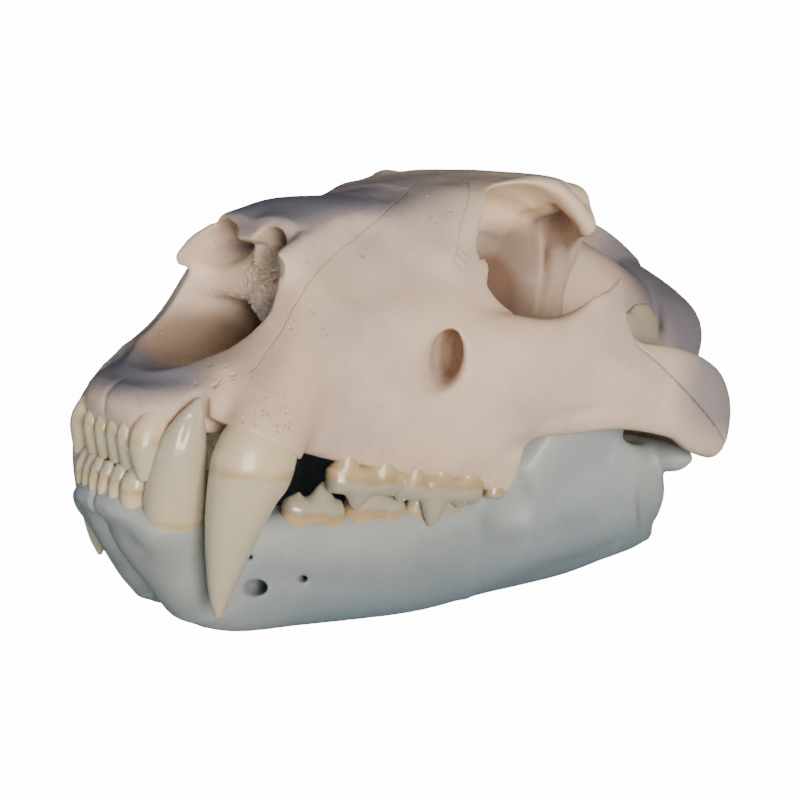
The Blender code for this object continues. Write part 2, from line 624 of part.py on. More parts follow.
def stand_on_origin(nodes):
    """Centre the nodes over the origin, with their lowest point at height zero."""
    corners = [v.co for node in nodes for v in node.data.vertices]
    low = [min(c[i] for c in corners) for i in range(3)]
    high = [max(c[i] for c in corners) for i in range(3)]
    shift = Vector((0.0, (low[1] + high[1]) / 2, low[2]))
    for node in nodes:
        for v in node.data.vertices:
            v.co -= shift


def main():
    """Build the skull."""
    for old in list(bpy.data.objects):
        bpy.data.objects.remove(old)
    bone = bone_material("dry_bone", BONE)
    jaw = bone_material("jaw_bone", JAW_BONE)
    nodes = build_upper(bone)
    nodes.append(build_jaw(1, "mandible_left", jaw))
    nodes.append(build_jaw(-1, "mandible_right", jaw))
    stand_on_origin(nodes)


main()
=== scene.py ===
"""Lion skull: the looks of the model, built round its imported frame.

The bones are modelled as distance fields: each form is a few rows of sizes, forms melt into each
other over a named blend, and the surface is drawn where the field is zero. Sizes are millimetres
in the skull's own axes: x to its left, s backwards from the incisors, h up, tooth row level.
"""
import logging
import math
from dataclasses import dataclass
from enum import Enum
from typing import ClassVar

import bmesh
import bpy
import numpy as np
from mathutils import Euler, Matrix, Vector
from mathutils.bvhtree import BVHTree
from mathutils.kdtree import KDTree


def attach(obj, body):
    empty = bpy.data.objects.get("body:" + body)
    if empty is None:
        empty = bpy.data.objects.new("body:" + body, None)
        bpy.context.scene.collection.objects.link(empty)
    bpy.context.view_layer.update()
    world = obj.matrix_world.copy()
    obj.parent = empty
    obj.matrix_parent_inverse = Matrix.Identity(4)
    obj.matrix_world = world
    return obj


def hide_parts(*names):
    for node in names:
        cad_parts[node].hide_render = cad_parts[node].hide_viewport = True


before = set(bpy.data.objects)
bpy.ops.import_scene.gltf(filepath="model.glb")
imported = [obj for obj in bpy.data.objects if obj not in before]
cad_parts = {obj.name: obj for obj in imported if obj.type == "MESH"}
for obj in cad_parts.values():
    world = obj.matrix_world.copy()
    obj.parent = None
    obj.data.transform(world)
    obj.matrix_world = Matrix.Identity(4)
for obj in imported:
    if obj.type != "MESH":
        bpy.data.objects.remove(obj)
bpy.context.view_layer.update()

LOG = logging.getLogger("lion_skull")
MM = 0.001
FAR = 60.0
Window = tuple[slice, slice, slice]
Row = tuple[float, ...]
Spot = tuple[float, float, float]
Patch = tuple[Spot, Spot, float]
Softened = tuple[Spot, Spot, int]
Socket = bpy.types.NodeSocket
Colour = tuple[float, float, float]


# Placing

@dataclass(frozen=True)
class Rest:
    """How the skull's own axes lie in the world: millimetres and degrees."""

    pitch: float = 9.3
    pivot_s: float = 150.0
    pivot_h: float = 60.0
    pivot_z: float = 43.6
    back: float = 180.632
    drop: float = 2.4

    def place(self, points: np.ndarray) -> np.ndarray:
        """Turn points of the skull's own axes into the world's, in metres.

        Args:
            points: Points in the skull's own axes, in millimetres.

        Returns:
            The world's points.
        """
        turn = math.radians(self.pitch)
        s = points[:, 1] - self.pivot_s
        h = points[:, 2] - self.pivot_h
        y = self.pivot_s + math.cos(turn) * s + math.sin(turn) * h - self.back
        z = self.pivot_z - math.sin(turn) * s + math.cos(turn) * h - self.drop
        return np.stack([points[:, 0], y, z], 1) * MM

    def lift(self, points: np.ndarray) -> np.ndarray:
        """Turn world points, in metres, back into the skull's own axes.

        Args:
            points: The world's points.

        Returns:
            The points in the skull's own axes, in millimetres.
        """
        turn = math.radians(self.pitch)
        y = points[:, 1] / MM + self.back - self.pivot_s
        z = points[:, 2] / MM + self.drop - self.pivot_z
        s = self.pivot_s + math.cos(turn) * y - math.sin(turn) * z
        h = self.pivot_h + math.sin(turn) * y + math.cos(turn) * z
        return np.stack([points[:, 0] / MM, s, h], 1)


REST = Rest()


# Fields

def smooth_rows(rows: tuple[Row, ...], steps: int) -> np.ndarray:
    """Read rows of sizes from a smooth curve through the given rows.

    Args:
        rows: The rows that the curve passes through.
        steps: How many new rows take the place of each step.

    Returns:
        The finer rows.
    """
    given = np.array(rows, float)
    last = len(given) - 1
    fine = []
    for i in range(last):
        a, b, c, d = given[max(i - 1, 0)], given[i], given[i + 1], given[min(i + 2, last)]
        for t in np.arange(steps) / steps:
            fine.append(0.5 * (2 * b + (c - a) * t + (2 * a - 5 * b + 4 * c - d) * t ** 2
                               + (3 * b - a - 3 * c + d) * t ** 3))
    fine.append(given[last])
    return np.array(fine)


def soft_min(a: np.ndarray, b: np.ndarray, blend: float) -> np.ndarray:
    """Give the smaller of two fields, rounded over a blend."""
    share = np.clip(0.5 + 0.5 * (b - a) / blend, 0, 1)
    return b + (a - b) * share - blend * share * (1 - share)


@dataclass(frozen=True)
class Grid:
    """A block of evenly spaced points."""

    low: Spot
    high: Spot
    cell: float

    @property
    def shape(self) -> tuple[int, int, int]:
        """How many points lie along each axis."""
        return tuple(int(math.ceil((b - a) / self.cell)) + 1 for a, b in zip(self.low, self.high))

    def window(self, low: np.ndarray, high: np.ndarray) -> Window:
        """Give the slices that cover a box.

        Args:
            low: The box's lowest corner.
            high: Its highest corner.

        Returns:
            A slice for each axis, kept inside the block.
        """
        cuts = []
        for k in range(3):
            first = int(math.floor((low[k] - self.low[k]) / self.cell))
            last = int(math.ceil((high[k] - self.low[k]) / self.cell)) + 1
            cuts.append(slice(min(max(first, 0), self.shape[k]), min(max(last, 0), self.shape[k])))
        return tuple(cuts)

    def axes(self, window: Window) -> list[np.ndarray]:
        """Give a window's coordinates, ready to broadcast.

        Args:
            window: The slices.

        Returns:
            The coordinates along each axis.
        """
        found = []
        for k, cut in enumerate(window):
            line = self.low[k] + self.cell * np.arange(cut.start, cut.stop)
            shape = [1, 1, 1]
            shape[k] = len(line)
            found.append(line.reshape(shape).astype(np.float32))
        return found


@dataclass(frozen=True)
class Egg:
    """An egg, turned by a tilt in degrees."""

    centre: Spot
    radii: Spot
    tilt: Spot = (0.0, 0.0, 0.0)

    def sample(self, grid: Grid, reach: float) -> tuple[Window, np.ndarray]:
        """Measure the field round the egg.

        Args:
            grid: The block of points.
            reach: How far past the surface the field is needed.

        Returns:
            The window that the egg touches, and the distances in it.
        """
        centre = np.array(self.centre)
        pad = max(self.radii) + reach
        window = grid.window(centre - pad, centre + pad)
        offsets = [axis - c for axis, c in zip(grid.axes(window), centre)]
        turn = np.array(Euler([math.radians(v) for v in self.tilt]).to_matrix().transposed())
        flat = [(turn[k, 0] * offsets[0] + turn[k, 1] * offsets[1] + turn[k, 2] * offsets[2])
                / self.radii[k] for k in range(3)]
        rho = np.sqrt(flat[0] ** 2 + flat[1] ** 2 + flat[2] ** 2) + 1e-6
        slope = np.sqrt(sum((q / r) ** 2 for q, r in zip(flat, self.radii))) / rho + 1e-6
        return window, ((rho - 1) / slope).astype(np.float32)


@dataclass(frozen=True)
class Core:
    """A body alike on both sides.

    Each row is s, half width, height of the widest place, top, bottom, and the squareness above
    and below the widest place.
    """

    rows: tuple[Row, ...]
    steps: int = 6

    def sample(self, grid: Grid, reach: float) -> tuple[Window, np.ndarray]:
        """Measure the field round the body.

        Args:
            grid: The block of points.
            reach: How far past the surface the field is needed.

        Returns:
            The window that the body touches, and the distances in it.
        """
        fine = smooth_rows(self.rows, self.steps)
        first, last = fine[0, 0], fine[-1, 0]
        wide = fine[:, 1].max()
        window = grid.window(np.array([-wide - reach, first - reach, fine[:, 4].min() - reach]),
                             np.array([wide + reach, last + reach, fine[:, 3].max() + reach]))
        x, s, h = grid.axes(window)
        at = [np.interp(s, fine[:, 0], fine[:, k]).astype(np.float32) for k in range(1, 7)]
        half, waist, top, bottom, upper, lower = at
        above = h >= waist
        rise = np.where(above, top - waist, waist - bottom)
        power = np.where(above, upper, lower)
        rho = (np.abs(x / half) ** power + np.abs((h - waist) / rise) ** power) ** (1 / power)
        gx, gs, gh = np.gradient(rho, grid.cell)
        slope = np.sqrt(gx ** 2 + gs ** 2 + gh ** 2) + 1e-4
        d = np.maximum((rho - 1) / slope, -FAR)
        return window, np.maximum(d, np.maximum(first - s, s - last)).astype(np.float32)


@dataclass(frozen=True)
class Limb:
    """A body along a bent line.

    Each row is x, s, h, half thickness across and half height along up.
    """

    rows: tuple[Row, ...]
    up: Spot = (0.0, 0.0, 1.0)
    square: float = 2.0
    cap: float = 0.5
    steps: int = 4

    def axes(self) -> tuple[np.ndarray, np.ndarray, np.ndarray, np.ndarray, np.ndarray]:
        """Work out the limb's middle line.

        Returns:
            Its points, the two radii at each, and the directions along it, across it and up.
        """
        fine = smooth_rows(self.rows, self.steps)
        middle, radii = fine[:, :3], np.maximum(fine[:, 3:5], 0.05)
        along = np.gradient(middle, axis=0)
        along /= np.linalg.norm(along, axis=1, keepdims=True)
        across = np.cross(along, np.array(self.up))
        across /= np.linalg.norm(across, axis=1, keepdims=True)
        return middle, radii, along, across, np.cross(across, along)

    def distance(self, u: np.ndarray, v: np.ndarray, past: np.ndarray, a: np.ndarray,
                 b: np.ndarray) -> np.ndarray:
        """Measure how far points lie outside the rounded cross-section.

        Args:
            u: Each point's offset across the limb.
            v: Its offset along the limb's up.
            past: How far it lies past an end, as a share of the cap's depth.
            a: The half thickness there.
            b: The half height there.

        Returns:
            About the distance to the surface, below zero inside.
        """
        p, depth = self.square, self.cap * np.minimum(a, b) + 0.05
        rho = (np.abs(u / a) ** p + np.abs(v / b) ** p + past ** p) ** (1 / p) + 1e-6
        slope = rho ** (1 - p) * np.sqrt((np.abs(u / a) ** (p - 1) / a) ** 2
                                         + (np.abs(v / b) ** (p - 1) / b) ** 2
                                         + (past ** (p - 1) / depth) ** 2)
        return (rho - 1) / (slope + 1e-4)

    def sample(self, grid: Grid, reach: float) -> tuple[Window, np.ndarray]:
        """Measure the field round the limb, stretch by stretch.

        Args:
            grid: The block of points.
            reach: How far past the surface the field is needed.

        Returns:
            The window that the limb touches, and the distances in it.
        """
        middle, radii, along, across, rise = self.axes()
        pad = radii.max() + reach
        whole = grid.window(middle.min(0) - pad, middle.max(0) + pad)
        size = [cut.stop - cut.start for cut in whole]
        found, nearest = np.full(size, FAR, np.float32), np.full(size, 1e9, np.float32)
        last = len(middle) - 2
        for i in range(last + 1):
            thick = radii[i:i + 2].max()
            room = thick + reach
            part = grid.window(np.minimum(middle[i], middle[i + 1]) - room,
                               np.maximum(middle[i], middle[i + 1]) + room)
            if min(cut.stop - cut.start for cut in part) < 1:
                continue
            local = tuple(slice(cut.start - base.start, cut.stop - base.start)
                          for cut, base in zip(part, whole))
            offset = [axis - m for axis, m in zip(grid.axes(part), middle[i])]
            step = middle[i + 1] - middle[i]
            t = sum(o * e for o, e in zip(offset, step)) / (step @ step)
            t = np.clip(t, 0, 1)
            offset = [o - t * e for o, e in zip(offset, step)]
            near = sum(o * o for o in offset)
            u = sum(o * (p + (q - p) * t) for o, p, q in zip(offset, across[i], across[i + 1]))
            v = sum(o * (p + (q - p) * t) for o, p, q in zip(offset, rise[i], rise[i + 1]))
            a, b = (radii[i, k] + (radii[i + 1, k] - radii[i, k]) * t for k in (0, 1))
            aside = np.abs(sum(o * e for o, e in zip(offset, step))) / np.linalg.norm(step)
            fits, past = aside <= 0.8 * thick + 1, 0.0
            if i in (0, last):
                end = (t <= 0) if i == 0 else (t >= 1)
                if i == 0 and last == 0:
                    end = (t <= 0) | (t >= 1)
                gone = sum(o * e for o, e in zip(offset, along[i if i == 0 else i + 1]))
                fits = fits | end
                past = np.where(end, np.abs(gone / (self.cap * np.minimum(a, b) + 0.05)), 0)
            better = (near < nearest[local]) & fits
            nearest[local] = np.where(better, near, nearest[local])
            found[local] = np.where(better, self.distance(u, v, past, a, b), found[local])
        return whole, found


Form = Egg | Core | Limb
Blended = tuple[Form, float]


def main_body(points: np.ndarray, faces: np.ndarray) -> tuple[np.ndarray, np.ndarray]:
    """Keep only the largest joined body of a surface, without loose specks.

    Args:
        points: The surface's points.
        faces: Its faces, as rows of four point numbers.

    Returns:
        The points and the faces of the largest body.
    """
    label = np.arange(len(points))
    while True:
        lower = label.copy()
        np.minimum.at(lower, faces.ravel(), np.repeat(label[faces].min(1), 4))
        lower = lower[lower]
        if (lower == label).all():
            break
        label = lower
    kept = label == np.bincount(label).argmax()
    number = np.cumsum(kept) - 1
    return points[kept], number[faces[kept[faces[:, 0]]]]


class Clay:
    """A field that forms are added to and cut from, on one side of the skull or on both."""

    def __init__(self, low: Spot, high: Spot, cell: float) -> None:
        """Start with nothing in the block from low to high."""
        self.grid = Grid(low, high, cell)
        self.d = np.full(self.grid.shape, FAR, np.float32)

    def add(self, form: Form, blend: float = 4.0) -> "Clay":
        """Melt a form on.

        Args:
            form: The form.
            blend: How far round it the two melt together, in millimetres.

        Returns:
            The same clay.
        """
        window, d = form.sample(self.grid, blend + 2 * self.grid.cell)
        self.d[window] = soft_min(self.d[window], d, blend)
        return self

    def cut(self, form: Form, blend: float = 1.5) -> "Clay":
        """Take a form away, with a rounded lip.

        Args:
            form: The form.
            blend: How round the lip is, in millimetres.

        Returns:
            The same clay.
        """
        window, d = form.sample(self.grid, blend + 2 * self.grid.cell)
        self.d[window] = -soft_min(-self.d[window], d, blend)
        return self

    def soften(self, centre: Spot, radii: Spot, rounds: int) -> "Clay":
        """Smooth the field inside an egg, most at its centre.

        Args:
            centre: The egg's centre.
            radii: The egg's radii.
            rounds: How many times each point is drawn towards its neighbours.

        Returns:
            The same clay.
        """
        middle, size = np.array(centre), np.array(radii)
        window = self.grid.window(middle - size, middle + size)
        flat = [(axis - c) / r for axis, c, r in zip(self.grid.axes(window), middle, size)]
        share = np.clip(2 - 2 * (flat[0] ** 2 + flat[1] ** 2 + flat[2] ** 2), 0, 1)
        block = self.d[window]
        for _ in range(rounds):
            calm = block
            for axis in range(3):
                rim = [(1, 1) if k == axis else (0, 0) for k in range(3)]
                wide = np.moveaxis(np.pad(calm, rim, mode="edge"), axis, 0)
                calm = 0.5 * calm + 0.25 * np.moveaxis(wide[:-2] + wide[2:], 0, axis)
            block = block + share * (calm - block)
        self.d[window] = block
        return self

    def gather(self, forms: tuple[Blended, ...]) -> None:
        """Add forms in their order, each with its blend."""
        for form, blend in forms:
            self.add(form, blend)

    def hollow(self, forms: tuple[Blended, ...]) -> None:
        """Cut forms away in their order, each with the roundness of its lip."""
        for form, blend in forms:
            self.cut(form, blend)

    def limit(self, axis: int, at: float, keep_above: bool) -> "Clay":
        """Keep only what lies on one side of a flat plane.

        Args:
            axis: The axis that the plane stands across.
            at: Where the plane lies.
            keep_above: Whether the higher side is kept.

        Returns:
            The same clay.
        """
        line = self.grid.axes(tuple(slice(0, n) for n in self.grid.shape))[axis]
        self.d = np.maximum(self.d, (at - line) if keep_above else (line - at))
        return self

    def mirror(self) -> "Clay":
        """Make both sides from the half that starts at x = 0.

        Returns:
            The same clay, now twice as wide.
        """
        self.d = np.concatenate([self.d[:0:-1], self.d])
        wide = (self.grid.shape[0] - 1) * self.grid.cell
        self.grid = Grid((-wide, *self.grid.low[1:]), (wide, *self.grid.high[1:]), self.grid.cell)
        return self

    def skin(self) -> tuple[np.ndarray, np.ndarray]:
        """Draw the surface where the field is zero.

        Returns:
            Points in the skull's own axes, and faces of four points each.
        """
        d = np.pad(self.d, 1, constant_values=FAR)
        inside = d < 0
        nx, ns, nh = (n - 1 for n in d.shape)
        corners = [(i, j, k) for i in (0, 1) for j in (0, 1) for k in (0, 1)]
        count = np.zeros((nx, ns, nh), np.uint8)
        for i, j, k in corners:
            count += inside[i:nx + i, j:ns + j, k:nh + k]
        cells = np.argwhere((count > 0) & (count < 8))
        number = np.full((nx, ns, nh), -1, np.int64)
        number[tuple(cells.T)] = np.arange(len(cells))
        total, hits = np.zeros((len(cells), 3)), np.zeros(len(cells))
        for a in corners:
            for axis in range(3):
                if a[axis]:
                    continue
                b = list(a)
                b[axis] = 1
                da = d[tuple((cells + a).T)]
                db = d[tuple((cells + b).T)]
                crossed = (da < 0) != (db < 0)
                t = np.where(crossed, da / np.where(crossed, da - db, 1), 0)
                point = np.repeat(np.array(a, float)[None], len(cells), 0)
                point[:, axis] = t
                total += point * crossed[:, None]
                hits += crossed
        points = np.array(self.grid.low) + self.grid.cell * (cells - 1 + total / hits[:, None])
        faces = []
        for axis in range(3):
            one, two = (axis + 1) % 3, (axis + 2) % 3
            near = [slice(1, n) for n in (nx, ns, nh)]
            near[axis] = slice(0, (nx, ns, nh)[axis])
            far = list(near)
            far[axis] = slice(1, (nx, ns, nh)[axis] + 1)
            change = inside[tuple(near)] != inside[tuple(far)]
            at = np.argwhere(change)
            base = at + [0 if k == axis else 1 for k in range(3)]
            into = inside[tuple(base.T)]
            ring = []
            for u, v in ((0, 0), (1, 0), (1, 1), (0, 1)):
                shift = np.zeros(3, int)
                shift[one], shift[two] = -u, -v
                ring.append(number[tuple((base + shift).T)])
            quads = np.stack(ring, 1)
            quads[~into] = quads[~into][:, ::-1]
            faces.append(quads)
        return main_body(points, np.concatenate(faces))


# Meshes

def to_object(name: str, points: np.ndarray, faces: np.ndarray) -> bpy.types.Object:
    """Make an object at the origin from points in the skull's own axes.

    Args:
        name: The object's name.
        points: Its points.
        faces: Its faces, as rows of point numbers.

    Returns:
        The object, linked to the scene.
    """
    mesh = bpy.data.meshes.new(name)
    mesh.from_pydata(REST.place(points).tolist(), [], faces.tolist())
    mesh.update()
    piece = bpy.data.objects.new(name, mesh)
    bpy.context.scene.collection.objects.link(piece)
    return piece


def relax(points: np.ndarray, faces: np.ndarray, rounds: int, pull: float = 0.5) -> np.ndarray:
    """Draw each point towards the middle of its neighbours.

    Args:
        points: The points.
        faces: The faces that join them.
        rounds: How many times they are drawn.
        pull: How far, as a share of the way.

    Returns:
        The calmer points.
    """
    edges = np.concatenate([faces[:, [0, 1]], faces[:, [1, 2]], faces[:, [2, 3]], faces[:, [3, 0]]])
    degree = np.bincount(edges[:, 0], minlength=len(points))[:, None]
    degree = degree + np.bincount(edges[:, 1], minlength=len(points))[:, None]
    for _ in range(rounds):
        total = np.stack([np.bincount(edges[:, 0], points[edges[:, 1], k], len(points))
                          + np.bincount(edges[:, 1], points[edges[:, 0], k], len(points))
                          for k in range(3)], 1)
        points = points + pull * (total / degree - points)
    return points


def places(piece: bpy.types.Object) -> np.ndarray:
    """Read a piece's points in the skull's own axes.

    Args:
        piece: The piece.

    Returns:
        Its points.
    """
    flat = np.empty(len(piece.data.vertices) * 3)
    piece.data.vertices.foreach_get("co", flat)
    return REST.lift(flat.reshape(-1, 3))


def thin_out(piece: bpy.types.Object, triangles: int) -> bpy.types.Object:
    """Use fewer faces where the surface is calm.

    Args:
        piece: The piece to change.
        triangles: About how many triangles it keeps.

    Returns:
        The same piece.
    """
    count = 2 * len(piece.data.polygons)
    if count > triangles:
        modifier = piece.modifiers.new("thin", "DECIMATE")
        modifier.ratio = triangles / count
        apply_modifiers(piece)
    return piece


def paint(piece: bpy.types.Object, name: str, values: np.ndarray) -> None:
    """Keep a number for each point, for the piece's material to read."""
    layer = piece.data.attributes.new(name, "FLOAT", "POINT")
    layer.data.foreach_set("value", values.astype(np.float32))


def facing(piece: bpy.types.Object) -> np.ndarray:
    """Read which way each point of a piece faces, in the world's axes.

    Args:
        piece: The piece.

    Returns:
        A direction for each point.
    """
    flat = np.empty(len(piece.data.vertices) * 3)
    piece.data.vertices.foreach_get("normal", flat)
    return flat.reshape(-1, 3)


def egg_mask(points: np.ndarray, spots: tuple[Patch, ...], fold: bool = True) -> np.ndarray:
    """Give each point a number from 0 to 1 from soft eggs.

    Args:
        points: Points in the skull's own axes.
        spots: For each egg its centre, its radii and how strong it is at its centre.
        fold: Whether the eggs stand on both sides alike.

    Returns:
        The strongest of the eggs at each point.
    """
    folded = points.copy()
    if fold:
        folded[:, 0] = np.abs(folded[:, 0])
    mask = np.zeros(len(points))
    for centre, radii, strength in spots:
        rho = (((folded - centre) / radii) ** 2).sum(1)
        mask = np.maximum(mask, strength * np.clip(1.5 - rho, 0, 1))
    return np.clip(mask, 0, 1)


def climb(values: np.ndarray, start: float, width: float, least: float = 0.0) -> np.ndarray:
    """Rise evenly from 0 at start to 1 a width further on, but nowhere below least."""
    return np.clip((values - start) / width, least, 1)


def apply_modifiers(piece: bpy.types.Object) -> bpy.types.Object:
    """Turn an object's modifiers into its mesh.

    Args:
        piece: The object.

    Returns:
        The same object.
    """
    graph = bpy.context.evaluated_depsgraph_get()
    mesh = bpy.data.meshes.new_from_object(piece.evaluated_get(graph))
    piece.modifiers.clear()
    old, piece.data = piece.data, mesh
    mesh.name = old.name
    bpy.data.meshes.remove(old)
    return piece


# Fine marks

@dataclass(frozen=True)
class PitPatch:
    """A patch of small open pits: where it lies, how many it has and their mean radius."""

    centre: Spot
    radii: Spot
    count: int
    radius: float


@dataclass
class Marks:
    """Sutures, pits, pores and broken spongy edges, carved into a piece with Geometry Nodes.

    Places are millimetres in the skull's own axes. The width and the depths are metres.
    """

    line_width: float = 0.0005
    line_depth: float = 0.00032
    pit_depth: float = 0.00085
    sponge_depth: float = 0.0026
    sponge_grain: float = 720.0
    wander: float = 0.3
    wander_steps: int = 14
    seed: int = 7
    # How near to a mark each round of splitting goes, and the edges it leaves whole
    rounds: tuple[tuple[float, float], ...] = ((4.4, 1.7), (3.0, 0.9), (1.7, 0.45))
    # Beside the nasal bone, in front of the orbit, and the three short curls at its lower end
    sutures: tuple[tuple[Spot, ...], ...] = (
        ((11, 129, 190), (21, 109, 177), (26, 93, 169), (27, 83, 162), (32, 63, 149), (35, 51, 138),
         (35, 42, 121), (37, 30, 107)),
        ((26, 143, 194), (38, 131, 185), (44, 122, 175), (47, 119, 164), (48, 117, 158), (48, 120, 155)),
        ((47, 119, 164), (47.5, 122, 162), (48, 126, 161)),
        ((47, 118, 161), (48, 122, 159), (48, 125, 157)),
        ((48, 117, 159), (48, 120, 156), (49, 123, 153)),
    )
    patches: tuple[PitPatch, ...] = (
        PitPatch((29, 58, 153), (4, 8, 6), 13, 0.62),
        PitPatch((31, 22, 105), (8, 14, 6), 14, 0.75),
        PitPatch((38, 50, 127), (3, 10, 9), 10, 0.72),
        PitPatch((34, 116, 173), (9, 8, 9), 5, 0.8),
        PitPatch((31, 83, 154), (1, 2, 2), 2, 1.1),
    )
    spongy: tuple[Patch, ...] = (
        ((3, 58, 136), (11, 7, 13), 1.0), ((9, 58, 124), (9, 6, 8), 1.0), ((13, 56, 147), (12, 6, 6), 1.0),
        ((25, 51, 144), (3.4, 5, 9), 1.0), ((-12, 56, 129), (14, 7, 3.4), 0.7))
    porous: tuple[Patch, ...] = (
        ((47, 30, 92), (10, 22, 10), 0.9), ((20, 8, 90), (16, 10, 12), 0.6),
        ((50, 95, 78), (10, 45, 7), 0.7), ((15, 75, 172), (22, 40, 12), 0.5),
        ((60, 150, 74), (14, 12, 10), 0.6), ((20, 6, 50), (20, 14, 16), 0.9))

    def __post_init__(self) -> None:
        """Make the tree."""
        self.tree = self.carving()

    def lines(self, chance: np.random.Generator) -> list[np.ndarray]:
        """Draw the sutures of both sides, slightly wandering.

        Args:
            chance: Where the wander comes from.

        Returns:
            Rows of points for each line.
        """
        found = []
        for line in self.sutures:
            rows = smooth_rows(line, self.wander_steps)
            shake = chance.normal(0, self.wander, rows.shape)
            shake[1:-1] = (shake[:-2] + shake[1:-1] + shake[2:]) / 3
            for way in (1, -1):
                found.append((rows + shake) * [way, 1, 1])
        return found

    def pits(self, chance: np.random.Generator) -> np.ndarray:
        """Scatter the pits of both sides.

        Args:
            chance: Where their places and sizes come from.

        Returns:
            A row for each pit: its place and its radius.
        """
        rows = []
        for patch in self.patches:
            for way in (1, -1):
                spread = chance.uniform(-1, 1, (patch.count, 3)) * patch.radii
                size = patch.radius * chance.uniform(0.7, 1.3, (patch.count, 1))
                rows.append(np.hstack([(patch.centre + spread) * [way, 1, 1], size]))
        return np.concatenate(rows)

    def snap(self, piece: bpy.types.Object, rows: list[np.ndarray]) -> list[np.ndarray]:
        """Lay rows of points on a piece's surface.

        Args:
            piece: The piece.
            rows: The points, in the skull's own axes.

        Returns:
            The nearest places on the surface.
        """
        surface = BVHTree.FromPolygons([v.co[:] for v in piece.data.vertices],
                                       [f.vertices[:] for f in piece.data.polygons])
        found = []
        for row in rows:
            world = [surface.find_nearest(Vector(q))[0][:] for q in REST.place(row)]
            found.append(REST.lift(np.array(world)))
        return found

    def near(self, points: np.ndarray, targets: np.ndarray, reach: float) -> np.ndarray:
        """Say which points lie within reach of a line or a pit.

        Args:
            points: The points to test.
            targets: Points of the lines and the pits.
            reach: How near is near.

        Returns:
            True for each point that is near.
        """
        tree = KDTree(len(targets))
        for i, target in enumerate(targets):
            tree.insert(target, i)
        tree.balance()
        hit = np.zeros(len(points), bool)
        low, high = targets.min(0) - reach, targets.max(0) + reach
        for i in np.nonzero(((points > low) & (points < high)).all(1))[0]:
            hit[i] = tree.find(points[i])[2] < reach
        return hit

    def refine(self, piece: bpy.types.Object) -> tuple[list[np.ndarray], np.ndarray]:
        """Split the faces near the marks and over spongy edges until they can carry them.

        Args:
            piece: The piece to change.

        Returns:
            The lines and, last, the pits, laid on the piece, and the pits' radii.
        """
        chance = np.random.default_rng(self.seed)
        pits = self.pits(chance)
        drawn = self.snap(piece, [*self.lines(chance), pits[:, :3]])
        targets = np.concatenate(drawn)
        mesh = bmesh.new()
        mesh.from_mesh(piece.data)
        for reach, limit in self.rounds:
            points = REST.lift(np.array([v.co[:] for v in mesh.verts]))
            wanted = self.near(points, targets, reach) | (egg_mask(points, self.spongy, False) > 0.15)
            chosen = [e for e in mesh.edges if (wanted[e.verts[0].index] or wanted[e.verts[1].index])
                      and e.calc_length() > limit * MM]
            bmesh.ops.subdivide_edges(mesh, edges=chosen, cuts=1)
            bmesh.ops.triangulate(mesh, faces=[f for f in mesh.faces if len(f.verts) > 4])
            mesh.verts.index_update()
        mesh.to_mesh(piece.data)
        mesh.free()
        return drawn, pits[:, 3]

    def target(self, name: str, rows: list[np.ndarray], joined: bool,
               sizes: np.ndarray) -> bpy.types.Object:
        """Make a helper object of lines or of single points.

        Args:
            name: The helper's name.
            rows: Its points, in the skull's own axes.
            joined: Whether the points of a row are joined by edges.
            sizes: A size kept on each point.

        Returns:
            The helper, which is removed after the carving.
        """
        edges, count = [], 0
        for row in rows:
            if joined:
                edges += [(count + i, count + i + 1) for i in range(len(row) - 1)]
            count += len(row)
        mesh = bpy.data.meshes.new(name)
        mesh.from_pydata(REST.place(np.concatenate(rows)).tolist(), edges, [])
        layer = mesh.attributes.new("size", "FLOAT", "POINT")
        layer.data.foreach_set("value", sizes.astype(np.float32))
        helper = bpy.data.objects.new(name, mesh)
        bpy.context.scene.collection.objects.link(helper)
        return helper

    def carve(self, piece: bpy.types.Object, drawn: list[np.ndarray], radii: np.ndarray) -> None:
        """Sink the marks into a piece and turn the result into its mesh.

        Args:
            piece: The piece to change.
            drawn: The lines and, last, the pits, laid on it.
            radii: The pits' radii.
        """
        points = places(piece)
        paint(piece, "spongy", egg_mask(points, self.spongy, False))
        paint(piece, "porous", egg_mask(points, self.porous))
        count = sum(len(row) for row in drawn[:-1])
        lines = self.target("suture_lines", drawn[:-1], True, np.ones(count))
        holes = self.target("pit_places", drawn[-1:], False, radii)
        modifier = piece.modifiers.new("marks", "NODES")
        modifier.node_group = self.tree
        given = {"Lines": lines, "Pits": holes, "Line width": self.line_width,
                 "Line depth": self.line_depth, "Pit depth": self.pit_depth,
                 "Sponge depth": self.sponge_depth}
        for item in self.tree.interface.items_tree:
            if item.name in given:
                modifier[item.identifier] = given[item.name]
        apply_modifiers(piece)
        for helper in (lines, holes):
            bpy.data.objects.remove(helper)

    def distance(self, g: "Graph", helper: Socket, kind: str) -> tuple[Socket, Socket]:
        """Measure how far each point lies from a helper object.

        Args:
            g: The tree being made.
            helper: The helper object's socket.
            kind: EDGES or POINTS, what is measured to.

        Returns:
            The helper's geometry and the distance.
        """
        info = g.node("GeometryNodeObjectInfo")
        g.feed(helper, info.inputs["Object"])
        near = g.node("GeometryNodeProximity", target_element=kind)
        g.feed(info.outputs["Geometry"], near.inputs[0])
        return info.outputs["Geometry"], near.outputs["Distance"]

    def size_of_nearest(self, g: "Graph", points: Socket) -> Socket:
        """Read the size kept on the nearest of a helper's points.

        Args:
            g: The tree being made.
            points: The helper's geometry.

        Returns:
            The size, in millimetres.
        """
        nearest = g.node("GeometryNodeSampleNearest", domain="POINT")
        g.feed(points, nearest.inputs[0])
        sample = g.node("GeometryNodeSampleIndex", data_type="FLOAT", domain="POINT")
        g.feed(points, sample.inputs[0])
        g.feed(self.kept(g, "size"), sample.inputs["Value"])
        g.feed(nearest.outputs[0], sample.inputs["Index"])
        return sample.outputs[0]

